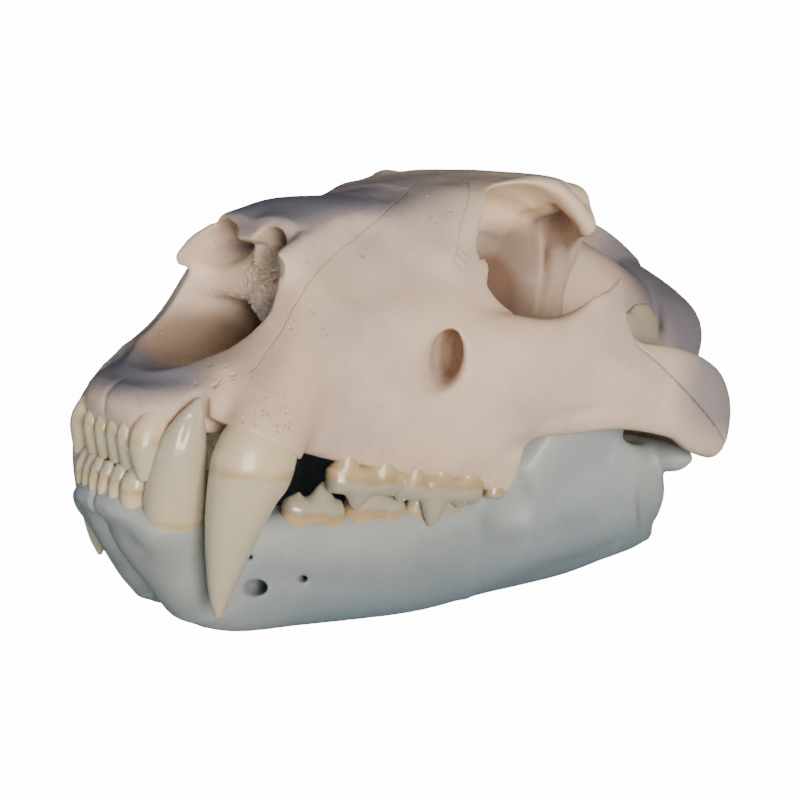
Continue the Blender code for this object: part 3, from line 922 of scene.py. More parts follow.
    def kept(self, g: "Graph", name: str) -> Socket:
        """Read a number kept on the points.

        Args:
            g: The tree being made.
            name: The number's name.

        Returns:
            The number.
        """
        node = g.node("GeometryNodeInputNamedAttribute", data_type="FLOAT")
        node.inputs["Name"].default_value = name
        return node.outputs["Attribute"]

    def carving(self) -> bpy.types.NodeTree:
        """Make the tree that sinks lines, pits and spongy roughness into a surface.

        Returns:
            A geometry tree with the helper objects and the depths, in metres, as its inputs.
        """
        tree = bpy.data.node_groups.new("marks", "GeometryNodeTree")
        inputs = {"Geometry": "Geometry", "Lines": "Object", "Pits": "Object", "Line width": "Float",
                  "Line depth": "Float", "Pit depth": "Float", "Sponge depth": "Float"}
        for name, kind in inputs.items():
            tree.interface.new_socket(name, in_out="INPUT", socket_type="NodeSocket" + kind)
        tree.interface.new_socket("Geometry", in_out="OUTPUT", socket_type="NodeSocketGeometry")
        g = Graph(tree)
        given = g.node("NodeGroupInput").outputs
        to_line = self.distance(g, given["Lines"], "EDGES")[1]
        holes, to_hole = self.distance(g, given["Pits"], "POINTS")
        line = g.spread(g.math("DIVIDE", to_line, given["Line width"]), 0.0, 1.0, 1.0, 0.0)
        size = self.size_of_nearest(g, holes)
        pit = g.spread(g.math("DIVIDE", to_hole, g.math("MULTIPLY", size, MM)), 0.25, 1.0, 1.0, 0.0)
        place = g.node("GeometryNodeInputPosition").outputs[0]
        rough = g.math("SUBTRACT", g.noise(place, self.sponge_grain, 3.0, 0.7), 0.5)
        lift = g.math("MULTIPLY", g.math("MULTIPLY", rough, self.kept(g, "spongy")), given["Sponge depth"])
        sink = g.math("ADD", g.math("MULTIPLY", line, given["Line depth"]),
                      g.math("MULTIPLY", g.math("MULTIPLY", pit, size), given["Pit depth"]))
        keep = g.node("GeometryNodeStoreNamedAttribute", data_type="FLOAT", domain="POINT")
        keep.inputs["Name"].default_value = "suture"
        g.feed(given["Geometry"], keep.inputs["Geometry"])
        g.feed(g.math("MAXIMUM", line, pit), keep.inputs["Value"])
        way = g.node("ShaderNodeVectorMath", operation="SCALE")
        g.feed(g.node("GeometryNodeInputNormal").outputs[0], way.inputs[0])
        g.feed(g.math("SUBTRACT", g.math("MULTIPLY", lift, 2.0), sink), way.inputs["Scale"])
        move = g.node("GeometryNodeSetPosition")
        g.feed(keep.outputs["Geometry"], move.inputs["Geometry"])
        g.feed(way.outputs[0], move.inputs["Offset"])
        real = g.node("GeometryNodeRealizeInstances")
        g.feed(move.outputs["Geometry"], real.inputs["Geometry"])
        finish = g.node("GeometryNodeSetMaterial")
        g.feed(real.outputs["Geometry"], finish.inputs["Geometry"])
        g.feed(finish.outputs["Geometry"], g.node("NodeGroupOutput").inputs["Geometry"])
        return tree


# Cranium

@dataclass
class Cranium:
    """The upper skull: one bone from the premaxillae to the nuchal crest.

    Sizes are millimetres in the skull's own axes.
    """

    stands_for: ClassVar[dict[str, tuple[str, ...]]] = {
        "face": ("muzzle", "zygomatic_arch_left", "zygomatic_arch_right"), "vault": ("braincase",)}

    marks: Marks
    low: Spot = (0, -12, 55)
    high: Spot = (122, 352, 216)
    cell: float = 0.95
    triangles: int = 110000
    # Half the gap between face and vault, and where the two part on the vault and on the arch
    seam: float = 0.12
    vault_seam: float = 222.0
    vault_lean: float = 0.12
    vault_wave: float = 2.0
    arch_seam: float = 218.5
    arch_lean: float = 1.685
    arch_width: float = 0.51
    softened: tuple[Softened, ...] = (((46, 92, 138), (30, 46, 44), 36), ((30, 125, 172), (22, 34, 22), 16))
    solids: tuple[Blended, ...] = (
        # Snout, from the incisors to the orbits
        (Core(((0.5, 14, 84, 89, 80, 2.4, 2.4), (5, 19, 85, 96, 78, 2.4, 3.0),
               (13, 23.5, 87, 105, 79, 2.2, 3.0), (22, 31, 91, 112.5, 82, 2.2, 3.0),
               (32, 41, 93, 120, 84, 2.2, 3.2), (42, 45.5, 95, 134, 85, 2.1, 3.6),
               (50, 46, 96, 157, 85, 2.1, 3.6), (60, 45, 98, 168, 85, 2.05, 4.0),
               (75, 43, 99, 173.6, 85, 2.05, 4.0), (95, 48, 100, 178, 85, 2.05, 4.0),
               (115, 55, 103, 184, 85, 2.1, 4.0), (132, 61, 106, 189, 86, 2.15, 4.0),
               (148, 61, 110, 193, 88, 2.3, 4.0))), 1),
        # Swelling over the canine's root
        (Limb(((42.8, 33.5, 76, 12.4, 16.4), (42, 37, 87, 12, 16), (38.6, 49, 103, 9.6, 12.6),
               (35.5, 61, 119, 7.4, 10), (30.5, 72, 134, 5.6, 7.6)), up=(0, 1, 0)), 7),
        # Bone between the canine and the nose
        (Limb(((33, 44, 92, 8, 8), (30, 36, 96, 10, 10), (26, 26, 96, 9, 10)), up=(0, 0, 1)), 8),
        # Sockets of the cheek teeth
        (Limb(((40, 50, 94, 5, 13), (41.5, 68, 93, 6, 16), (46, 84, 94, 6.6, 19), (51, 103, 95, 7, 22.5),
               (55.5, 120, 95, 7.5, 23), (61, 138, 93, 8, 21.5), (64, 148, 88, 6, 21),
               (66.5, 153.5, 87, 4.5, 20)), square=2.4), 7),
        # Flank of the snout
        (Limb(((38, 68, 113, 6, 16), (43, 92, 116, 7, 20), (50, 117, 119, 7, 23)),), 14),
        # Ridge beside the nasal bone
        (Limb(((25, 102, 165, 9, 8), (26, 117, 173, 9, 8), (26, 132, 181, 10, 7))), 10),
        # Sockets of the incisors
        (Limb(((2, 3.6, 88.5, 6, 7), (8, 4, 88.5, 6.2, 7.2), (13, 6.4, 89, 6.6, 7.4),
               (17.5, 10.8, 90.5, 7, 7.2), (22, 16, 92, 6.6, 7), (29, 24, 93, 6, 7))), 4),
        # Roof of the nose
        (Limb(((13, 100, 168, 13, 9), (13, 76, 164.5, 13.5, 8), (13, 62, 160.6, 12.5, 6),
               (13, 54, 158.2, 11, 5)), cap=0.3), 4),
        # Side tip of the nasal bone
        (Limb(((23.6, 76, 157, 4.8, 10), (26, 61, 151, 4, 9), (27.4, 49.5, 146.5, 3.2, 7),
               (26.8, 40.5, 141.4, 1.9, 3.2)), cap=0.8), 4),
        # Braincase
        (Core(((120, 38, 150, 186, 100, 2.4, 2.4), (140, 36, 155, 193, 92, 2.6, 2.4),
               (160, 33, 160, 198, 90, 2.6, 2.4), (185, 33, 155, 200, 90, 2.5, 2.4),
               (208, 31, 150, 196, 88, 2.3, 2.4), (230, 38, 142, 190, 84, 2.2, 2.4),
               (252, 47, 136, 187, 78, 2.2, 2.4), (275, 51, 130, 183, 76, 2.2, 2.6),
               (296, 50, 126, 179, 78, 2.2, 2.6), (313, 47, 126, 179, 84, 2.1, 2.6),
               (325, 41, 132, 180, 92, 2.1, 2.2), (333, 32, 142, 180, 108, 2.1, 2.2),
               (338, 20, 152, 178, 126, 2.1, 2.2))), 6),
        # Forehead
        (Core(((104, 14, 168, 175, 164, 2.4, 2.0), (122, 24, 175, 181, 169, 2.4, 2.0),
               (140, 33, 182, 188, 174, 2.5, 2.0), (160, 41, 189.5, 196, 178, 2.6, 2.0),
               (178, 49, 197.4, 204.2, 183, 3.5, 2.0), (190, 51, 196.5, 205.4, 183, 3.1, 2.0),
               (201, 38, 196, 205.2, 185, 2.4, 2.0), (218, 14, 194, 204, 184, 2.2, 2.0))), 8),
        # Crest along the top
        (Limb(((0, 205, 190, 9, 15), (0, 225, 187.4, 5, 16), (0, 250, 184, 3.6, 17),
               (0, 275, 182, 3.4, 17), (0, 300, 180.8, 3.6, 16), (0, 322, 176.5, 4.5, 15.5),
               (0, 341, 171, 5, 15)), square=2.6), 5),
        # Base of the face, over the throat
        (Core(((140, 26, 110, 140, 88, 2.4, 4.0), (165, 24, 112, 140, 86, 2.4, 4.0),
               (190, 21, 112, 140, 88, 2.4, 4.0), (212, 18, 112, 130, 88, 2.4, 4.0))), 5),
        # Front of the orbit's rim
        (Limb(((40, 118, 158, 7, 9), (37.5, 126, 170, 8, 9), (34, 136, 180, 10, 7.5),
               (30, 150, 187.5, 11, 6), (30, 164, 192, 12, 5))), 9),
        # Rim over the orbit, out to its tip
        (Limb(((41, 131, 172, 6, 7), (40, 144, 186.5, 6, 4), (40, 157, 193.4, 6, 3.4),
               (43, 168, 197.4, 6, 3.8), (49, 177, 196.4, 5.8, 4.2), (55.4, 185, 190, 4.6, 4.4),
               (59.6, 188.8, 183.6, 2.4, 2.8), (61.2, 190, 181.4, 1.2, 1.4))), 4),
        # Wall behind the orbit
        (Limb(((59.5, 190, 184, 3, 4), (53, 197.5, 184, 4.5, 8), (46, 205, 183, 6, 13), (37, 210, 181, 7, 16),
               (27, 214, 180, 8, 17), (14, 217, 180, 9, 17))), 4),
        # Ridge down that wall
        (Limb(((37, 209, 172, 5, 7), (34.5, 211, 155, 4.5, 7), (33, 212, 138, 4, 7)), up=(0, 1, 0)), 6),
        # Line from the rim's tip to the crest
        (Limb(((60, 190.6, 183.6, 2.2, 2.6), (55.4, 192.5, 190.4, 3, 3.4), (48.5, 195, 196.6, 5.2, 5.4),
               (35, 202, 199, 7, 5.4), (18, 214, 198.5, 6.5, 5.5), (3, 236, 196, 4, 6))), 4),
        # Crest round the nape
        (Limb(((0, 331, 179, 5, 15), (14, 329, 173, 5, 17), (29, 326, 166, 5, 18),
               (43, 321, 157, 5, 19), (53, 310, 144, 5, 18), (59, 297, 127, 5.5, 15),
               (61, 287, 106, 7, 13), (61, 284, 90, 8, 11), (60, 283, 78, 5, 7)),
              up=(0, 1, 0), square=2.4), 4),
        # Knob and wall behind the ear
        (Egg((58, 284, 88), (9, 10, 14)), 4),
        (Egg((52, 290, 112), (10, 12, 30)), 5),
        # Spur beside the neck's joint
        (Limb(((46, 300, 92, 6, 8), (49, 303, 78, 4.5, 7), (50, 303, 68, 2.5, 4)), up=(0, 1, 0)), 4),
        # Ear bulb
        (Egg((33, 274, 76), (15, 21, 14), (0, 0, 15)), 3),
        # Joint with the neck
        (Limb(((16, 312, 92, 9, 12), (20, 322, 96, 9, 14), (22, 329, 99, 6, 9))), 4),
        # Wing beside the throat
        (Limb(((20, 168, 96, 3.5, 12), (19, 192, 94, 3, 12), (19, 210, 90, 2.5, 9),
               (20, 218, 84, 2, 4))), 3),
        # Root of the cheek arch
        (Limb(((44, 262, 104, 12, 14), (60, 265, 100, 12, 11), (76, 267, 99, 11, 10),
               (92, 266, 101, 9, 11))), 6),
        # Cheek arch
        (Limb(((52, 126, 114, 12, 24), (65, 143, 115, 11, 25.5), (75.5, 160, 117, 8.5, 23.5),
               (83.5, 178, 119, 6.8, 22), (90.5, 196, 118.5, 6.4, 19), (96.5, 214, 118.2, 6.4, 19.5),
               (100.5, 230, 116, 7, 19.5), (102.6, 244, 110, 7.8, 19.5),
               (100.6, 257, 104, 9, 15.5), (90, 265.5, 101, 9, 11), (76, 267, 99, 10, 10)),
              square=2.3), 6),
        # Pointed process of the arch, under the orbit's tip
        (Limb(((80, 169, 124, 6, 22), (81.5, 172, 136, 5, 18), (83, 175.6, 147, 4, 12.5),
               (84, 179, 156, 3, 6.8), (84, 181.3, 163, 1.2, 1.8)), up=(0.47, 0.88, 0)), 10),
    )

    hollows: tuple[Blended, ...] = (
        # Orbit, its inner wall and its lower back
        (Limb(((104, 122, 171, 36, 34), (80, 140, 171, 31, 31), (66, 150.5, 170.5, 27.5, 29.5),
               (56, 156.5, 169.5, 26.5, 28.5), (50, 159, 169, 28, 28), (44, 160, 167, 28, 26.5),
               (38, 162, 164.5, 24, 25), (31.5, 164, 161, 13, 16)), square=2.2), 1.6),
        (Egg((36, 177, 157), (12, 25, 24)), 3),
        (Limb(((75, 170, 160, 16, 24), (60, 175.5, 165, 14, 21.5), (48, 180, 165, 13, 23),
               (38, 184, 162, 9, 20))), 1.6),
        # Hole under the orbit, and the dish in front of it
        (Limb(((61, 104, 118.5, 6.4, 10.8), (51, 118.5, 121.2, 6, 10.8), (45, 131, 122, 5.4, 9))), 1.5),
        (Egg((59.5, 97, 118), (7, 18, 12.5), (0, 0, -12)), 6),
        # Muscle scar along the arch's lower edge
        (Limb(((80.6, 147, 90, 6, 6), (84.2, 150.4, 97, 6, 6), (87, 155.7, 101.5, 6, 6),
               (92, 169.4, 105.4, 6, 6), (99.3, 187, 109.4, 5, 4.4), (104.5, 202, 113.5, 3, 1.6))), 0.5),
        # Socket of the jaw's hinge
        (Limb(((40, 258, 86, 9.5, 9.5), (62, 259, 84, 11, 11), (84, 260, 84.5, 11, 11),
               (99, 260, 85, 9, 9))), 2),
        # Side of the braincase
        (Egg((66, 229, 166), (22, 38, 42), (0, 0, -8)), 4),
        # Notch for the lower canine
        (Limb(((26.4, 13.6, 74, 9.5, 12), (28, 13.5, 82, 7, 9.6), (29.2, 13.9, 89, 5.2, 6.6),
               (30.4, 14.8, 96.5, 3, 3.6)), up=(0, 1, 0)), 1.2),
        # Socket of the upper canine
        (Limb(((43.5, 19, 54, 17, 27), (44.5, 30, 84.6, 17, 25)), up=(0, 1, 0), square=2.4, cap=0.04), 1),
        # Nose
        (Core(((-20, 20, 118, 150, 103, 2.2, 2.6), (12, 18, 116, 150, 101, 2.2, 2.6),
               (28, 24, 122, 150, 102, 2.2, 2.6), (42, 27, 132, 152, 105, 3.2, 2.6),
               (52, 26.5, 134, 152, 107, 3.4, 2.6), (60, 24.5, 132, 151, 108, 3.2, 2.6),
               (66, 22.5, 126, 139, 109, 2.2, 2.6), (84, 19.5, 124, 135, 110, 2.2, 2.6),
               (112, 17, 123, 134, 110, 2.2, 2.4), (140, 13, 122, 131, 112, 2.2, 2.2))), 1.5),
        # Tube under the nasal bone
        (Limb(((13.4, 28, 140, 10, 10), (13, 44, 145.6, 9.8, 11), (12.6, 52, 148.6, 9, 10.2),
               (12.2, 58, 150.6, 7, 8.2), (11.8, 64, 152.2, 3.6, 4.6)), cap=0.9), 1.0),
        # Back of the throat
        (Core(((172, 11, 96, 106, 60, 2.4, 4.0), (195, 12.5, 96, 107, 60, 2.4, 4.0),
               (226, 14, 94, 103, 60, 2.4, 4.0))), 2),
        # Opening for the spine
        (Core(((300, 11, 102, 113, 90, 2.2, 2.2), (318, 14, 103, 117, 90, 2.2, 2.2),
               (345, 18, 104, 122, 88, 2.2, 2.2))), 2),
    )

    scrolls: tuple[Blended, ...] = (
        # Sheet across the nose
        (Limb(((30, 50, 138, 3, 6), (23, 57, 138, 4, 7.5), (12, 62, 138, 6, 8.5), (0, 63.5, 138, 6, 9)),
              up=(0, 0, 1), square=2.2), 8),
        # Hook at the orbit's front
        (Limb(((49.8, 134, 152, 1.6, 3), (49.6, 133.6, 158, 1.4, 3.4), (48.4, 134.2, 165, 1, 2.4)),
              up=(0, 1, 0)), 2.5),
        # Septum
        (Limb(((0, 64, 157, 2, 9), (0, 64, 144, 2.4, 9)), up=(0, 1, 0)), 2),
    )

    breaks: tuple[Blended, ...] = (
        # Broken tip of the left nasal bone
        (Limb(((27, 32, 141, 7, 7), (26.8, 40, 142.5, 5.4, 6), (26, 44, 144, 3.2, 4))), 1.5),
        # Wide vault under the right nasal bone
        (Limb(((-16.5, 28, 138, 8.5, 11), (-16.5, 40, 143, 8.5, 11), (-17, 48, 148, 9.6, 10.5),
               (-17, 54, 151, 10.5, 9), (-16.5, 62, 154.5, 9.5, 7.6), (-15, 72, 157, 6, 5.5))), 1.2),
    )
    # Ragged ends of the scrolls, which differ from side to side
    torn: tuple[Blended, ...] = (
        (Limb(((1, 60, 133, 3.4, 6), (7, 61, 127.5, 2.8, 6), (13, 59, 121.5, 2.2, 4.5)), up=(0, 0, 1)), 2),
        (Limb(((-7, 62.5, 144, 2.6, 3), (0, 61, 148, 3.4, 4), (8, 59, 147.6, 3.4, 3.6),
               (15, 57, 146.5, 3.4, 3.6), (21, 54, 145, 3, 3.6))), 3),
    )
    strands: tuple[tuple[Spot, Spot], ...] = (
        ((2, 57, 141), (19, 52, 143.5)), ((4, 57, 137), (21, 51, 141)), ((0, 57, 145), (18, 54, 147)))
    crumbs: tuple[Spot, ...] = (
        (23.5, 52, 147.5), (24.8, 51.2, 144.2), (25.8, 50.2, 141), (23.8, 52.8, 150), (26.6, 49.4, 138.4))
    crumb_radii: Spot = (2.4, 1.9, 2.1)
    # Painted dark shade, deep in the nose, the orbit and the holes
    brown: tuple[Patch, ...] = (
        ((16, 52, 110), (17, 34, 15), 0.72), ((12, 57, 150), (9, 10, 7), 0.3),
        ((48, 122, 121), (6, 12, 11), 0.12), ((28, 172, 150), (14, 26, 20), 0.95),
        ((26, 182, 168), (12, 22, 14), 0.6))
    # Painted slate-blue shade patches, and the warm patch that the painted shade on upward faces leaves out
    grey: tuple[Patch, ...] = (
        ((20, 335, 135), (90, 66, 80), 0.95), ((0, 250, 200), (40, 60, 26), 0.62),
        ((0, 10, 104), (30, 20, 15), 1.0), ((104, 250, 122), (16, 34, 24), 0.8),
        ((84, 180, 160), (8, 10, 14), 0.4), ((26, 176, 154), (12, 26, 24), 0.4))
    warm: tuple[Patch, ...] = (((0, 58, 140), (26, 24, 14), 1.0),)
    # Warm patches of painted light on the orbit's roof and in the nose, and of painted shade on the cheek
    tan: tuple[Patch, ...] = (
        ((42, 165, 188), (18, 28, 16), 1.0), ((46, 98, 140), (16, 30, 22), 0.2),
        ((0, 84, 118), (22, 22, 16), 0.6), ((13, 50, 145), (9, 11, 7.5), 0.4),
        ((14, 57, 141), (14, 8, 11), 0.8), ((25, 51, 144), (5, 6, 9), 0.9))

    def ragged(self) -> tuple[Blended, ...]:
        """List the ragged ends of the scrolls.

        Returns:
            The torn sheets, the strands between them and the crumbs of bone at their side.
        """
        strands = ((Limb(((*a, 0.9, 0.9), (*b, 0.8, 0.8))), 0.8) for a, b in self.strands)
        crumbs = ((Egg(centre, self.crumb_radii), 0.9) for centre in self.crumbs)
        return (*self.torn, *strands, *crumbs)

    def cast(self, points: np.ndarray, up: np.ndarray) -> np.ndarray:
        """Say how much painted slate-blue shade each point gets: where it faces up, at the nose's lip and at
        the back.

        Args:
            points: Points in the skull's own axes.
            up: How far each point faces up, from -1 to 1.

        Returns:
            A number from 0 to 1 for each point.
        """
        top = climb(up, 0.1, 0.7) * climb(points[:, 2], 140, 12)
        top *= climb(-np.abs(points[:, 0]), -46, 26, 0.2) * climb(-points[:, 1], -175, 80, 0.1)
        top *= 1 - egg_mask(points, self.warm)
        return np.maximum(egg_mask(points, self.grey), top)

    def divide(self, clay: Clay) -> np.ndarray:
        """Measure how far each point of the block lies behind the seam between face and vault.

        Args:
            clay: The whole skull's field.

        Returns:
            The distance behind the seam: the coronal suture across the vault, and the slanting
            suture of the cheek arch outside it.
        """
        x, s, h = clay.grid.axes(tuple(slice(0, n) for n in clay.grid.shape))
        wave = self.vault_wave * np.sin(x * 0.21) * np.exp(-((x / 40) ** 2))
        across = s - self.vault_seam + self.vault_lean * (h - 150) + wave
        arch = (s - self.arch_seam + self.arch_lean * (np.minimum(h, 136) - 120)) * self.arch_width
        share = np.clip((np.abs(x) - 70) / 12, 0, 1)
        return (across * (1 - share) + arch * share).astype(np.float32)

    def bone(self, name: str, clay: Clay) -> bpy.types.Object:
        """Turn one part of the field into a piece, painted and with its marks.

        Args:
            name: The piece's name.
            clay: The part's field.

        Returns:
            The piece.
        """
        points, faces = clay.skin()
        piece = thin_out(to_object(name, relax(points, faces, 2), faces), self.triangles)
        drawn, radii = self.marks.refine(piece)
        points, up = places(piece), facing(piece)[:, 2]
        # Painted shade and light: dark shade in the hollows, slate-blue shade on upward faces and patches,
        # and warm patches of painted light and shade on faces that don't face up
        paint(piece, "stain", egg_mask(points, self.brown))
        paint(piece, "cool", self.cast(points, up))
        paint(piece, "tan", egg_mask(points, self.tan) * np.clip(1.2 - 2 * up, 0, 1))
        self.marks.carve(piece, drawn, radii)
        piece.data.shade_smooth()
        return piece

    def build(self) -> list[bpy.types.Object]:
        """Model the bone.

        Returns:
            Its two pieces, the face and the vault.
        """
        clay = Clay(self.low, self.high, self.cell)
        clay.gather(self.solids)
        for egg in self.softened:
            clay.soften(*egg)
        solid = clay.d.copy()
        clay.hollow(self.hollows)
        clay.gather(self.scrolls)
        clay.d = np.maximum(clay.d, solid)
        clay.mirror()
        clay.hollow(self.breaks)
        clay.gather(self.ragged())
        behind = self.divide(clay)
        whole, pieces = clay.d, []
        for name, edge in (("face", behind + self.seam), ("vault", self.seam - behind)):
            clay.d = np.maximum(whole, edge)
            pieces.append(self.bone(name, clay))
        return pieces


# Lower jaw

class Side(Enum):
    """A side of the skull."""

    LEFT = 1
    RIGHT = -1

    @property
    def word(self) -> str:
        """The side's name, for the end of a piece's name."""
        return self.name.lower()


def flipped(points: np.ndarray, faces: np.ndarray, side: Side) -> tuple[np.ndarray, np.ndarray]:
    """Bring a left piece over to a side, its faces still pointing out.

    Args:
        points: The left piece's points.
        faces: Its faces.
        side: The side that it's for.

    Returns:
        The points and the faces on that side.
    """
    if side is Side.LEFT:
        return points, faces
    return points * [-1, 1, 1], faces[:, ::-1]


@dataclass
class Mandible:
    """One half of the lower jaw, in millimetres in the skull's own axes; the floor in metres."""

    side: Side
    low: Spot = (-3, -4, -14)
    high: Spot = (104, 272, 160)
    cell: float = 0.9
    seam: float = 0.15
    floor: float = 0.0
    triangles: int = 120000
    softened: tuple[Softened, ...] = (((22, 24, 36), (26, 34, 34), 16), ((66, 205, 66), (24, 60, 44), 14))
    # Painted warm light on the top of the upright blade
    tan: tuple[Patch, ...] = (((73, 240, 145), (12, 40, 26), 1.0),)
    solids: tuple[Blended, ...] = (
        # Body of the jaw
        (Limb(((5, 5, 53.5, 9, 4.5), (6, 10.5, 49.5, 10.5, 8.5), (7, 19, 43.5, 12.6, 12.5),
               (8.6, 29, 38, 14.6, 16.5), (12, 42, 31.5, 16.5, 22), (17, 56, 29.5, 15.5, 24.5),
               (28, 76, 31.3, 10.5, 23.5), (38, 100, 34, 9.5, 23.5),
               (47, 126, 37, 9, 23.6), (53.8, 152, 41.5, 9, 22.7), (59.8, 178, 46.2, 8.5, 23.6),
               (65.5, 202, 51.7, 8, 25.2), (71.8, 226, 58, 7, 24), (76, 244, 63.5, 6, 20.5),
               (78.5, 256, 67, 5, 16), (79, 262, 69, 3.5, 10)), square=2.2), 1),
        # Upright blade
        (Limb(((61, 182.5, 62, 6.5, 27.5), (67, 198, 82, 6, 31.5), (70, 206, 103, 5.5, 29.5),
               (72, 217, 123, 4.5, 25), (73, 229, 138, 4, 20), (73, 233, 145.5, 3.4, 16),
               (73, 236, 150.5, 2, 9)), up=(0, 1, 0), square=2.3), 5),
        # Knob of the hinge, and its neck
        (Limb(((47, 261, 83, 5, 5), (55, 260, 84, 7, 7), (70, 259, 84.4, 7.6, 7.6),
               (84, 258.4, 85.2, 7.2, 7.2), (90, 258.6, 86.2, 5.4, 5.4), (93, 259, 87, 3, 3))), 3),
        (Limb(((72, 226, 74, 7, 17), (73, 242, 76, 6.5, 14), (72, 257, 80, 8, 9))), 4),
        # Sockets of the cheek teeth
        (Limb(((24, 48, 41, 6, 9), (31, 62, 43.5, 6.5, 10), (36.5, 80, 42, 7, 10.5), (42, 100, 43, 7.5, 12),
               (46, 115, 44, 7.5, 12), (52, 140, 48, 7, 12), (57, 158, 54, 6, 11)), square=2.3), 6),
        # Front edge of the blade
        (Limb(((56, 158, 60, 5.5, 12), (59, 173, 78, 5, 12.5), (65, 184, 94, 5, 13)), up=(0, 1, 0)), 6),
        # Sockets of the incisors
        (Limb(((2, 3.6, 53.6, 5.2, 5.4), (8, 4.4, 53.6, 5.4, 5.4), (14, 7.6, 51.8, 6.4, 5.4),
               (20, 12, 48, 7, 6))), 4),
        # Swelling round the canine's root
        (Limb(((21.8, 19.2, 53.0, 9.6, 12.6), (20.6, 21.4, 47, 9.6, 12.4), (17.6, 31, 33, 8.4, 10.6),
               (14, 42, 22, 7, 9)), up=(0, 1, 0), cap=0.12), 6),
        # Hooked corner at the back
        (Limb(((75, 232, 49, 6, 12), (77.5, 247, 48.4, 5.5, 9), (79, 257, 46.5, 3.5, 4))), 4),
        # Muscle ridge
        (Limb(((64.5, 171.8, 46.5, 2.2, 3), (68.8, 187.7, 43.5, 2.2, 2.6), (72, 205.8, 42.5, 2, 2.4),
               (74.4, 223.6, 45, 1.6, 2))), 4),
        # Thick lower edge
        (Limb(((56, 150, 34, 5, 8), (65, 176, 41, 6, 7), (73, 205, 49, 5.5, 7), (79, 234, 58, 4, 7))), 9),
    )

    hollows: tuple[Blended, ...] = (
        # Hollow for the chewing muscle, and two soft dips below it
        (Egg((88, 206, 88), (13, 34, 32), (0, 0, 6)), 3),
        (Egg((42, 176, 66), (10, 10, 12)), 3),
        (Egg((68, 157, 57), (9, 14, 11)), 5),
        # Nerve holes: large, rear and upper
        (Limb(((38, 44, 27, 4.4, 3.6), (31, 53, 26, 3.6, 3.1), (24, 66, 25, 3, 2.6)), up=(0, 0, 1)), 1.6),
        (Limb(((43, 66, 30, 1.9, 1.7), (36.5, 71.5, 29.5, 1.6, 1.5), (32, 78, 29, 1.4, 1.3))), 0.8),
        (Limb(((36, 44, 38.5, 1.3, 1.2), (30, 49, 38, 1.1, 1), (27, 54, 37.5, 1, 1))), 0.7),
    )

    def cast(self, points: np.ndarray, height: np.ndarray) -> np.ndarray:
        """Say how much painted slate-blue shade each point gets: towards the lower edge, least at the chin.

        Args:
            points: Points in the skull's own axes.
            height: Each point's height above the table in millimetres.

        Returns:
            A number from 0 to 1 for each point.
        """
        return climb(-height, -46, 44) * climb(points[:, 1], 20, 60, 0.1)

    def flatten(self, piece: bpy.types.Object) -> None:
        """Lift what lies below the floor onto it, so that the jaw rests on small flats.

        Args:
            piece: The piece to change.
        """
        place = np.empty(len(piece.data.vertices) * 3)
        piece.data.vertices.foreach_get("co", place)
        place[2::3] = np.maximum(place[2::3], self.floor)
        piece.data.vertices.foreach_set("co", place)

    def build(self) -> bpy.types.Object:
        """Model the bone.

        Returns:
            The half jaw of this side.
        """
        clay = Clay(self.low, self.high, self.cell)
        clay.gather(self.solids)
        for egg in self.softened:
            clay.soften(*egg)
        clay.hollow(self.hollows)
        clay.limit(0, self.seam, True)
        points, faces = clay.skin()
        points = relax(points, faces, 2)
        points[:, 0] = np.maximum(points[:, 0], self.seam)
        piece = to_object("jaw_" + self.side.word, *flipped(points, faces, self.side))
        piece = thin_out(piece, self.triangles)
        self.flatten(piece)
        points = places(piece)
        # Painted slate-blue shade towards the lower edge, and painted warm light on the blade's top
        paint(piece, "cool", self.cast(points, REST.place(points)[:, 2] / MM))
        paint(piece, "tan", egg_mask(points, self.tan))
        piece.data.shade_smooth()
        return piece


# Teeth

@dataclass(frozen=True)
class Cusp:
    """A cusp of a cheek tooth: where it stands, how high, and how long and wide its foot is."""

    share: float
    height: float
    half_length: float
    half_width: float
    aside: float = 0.0


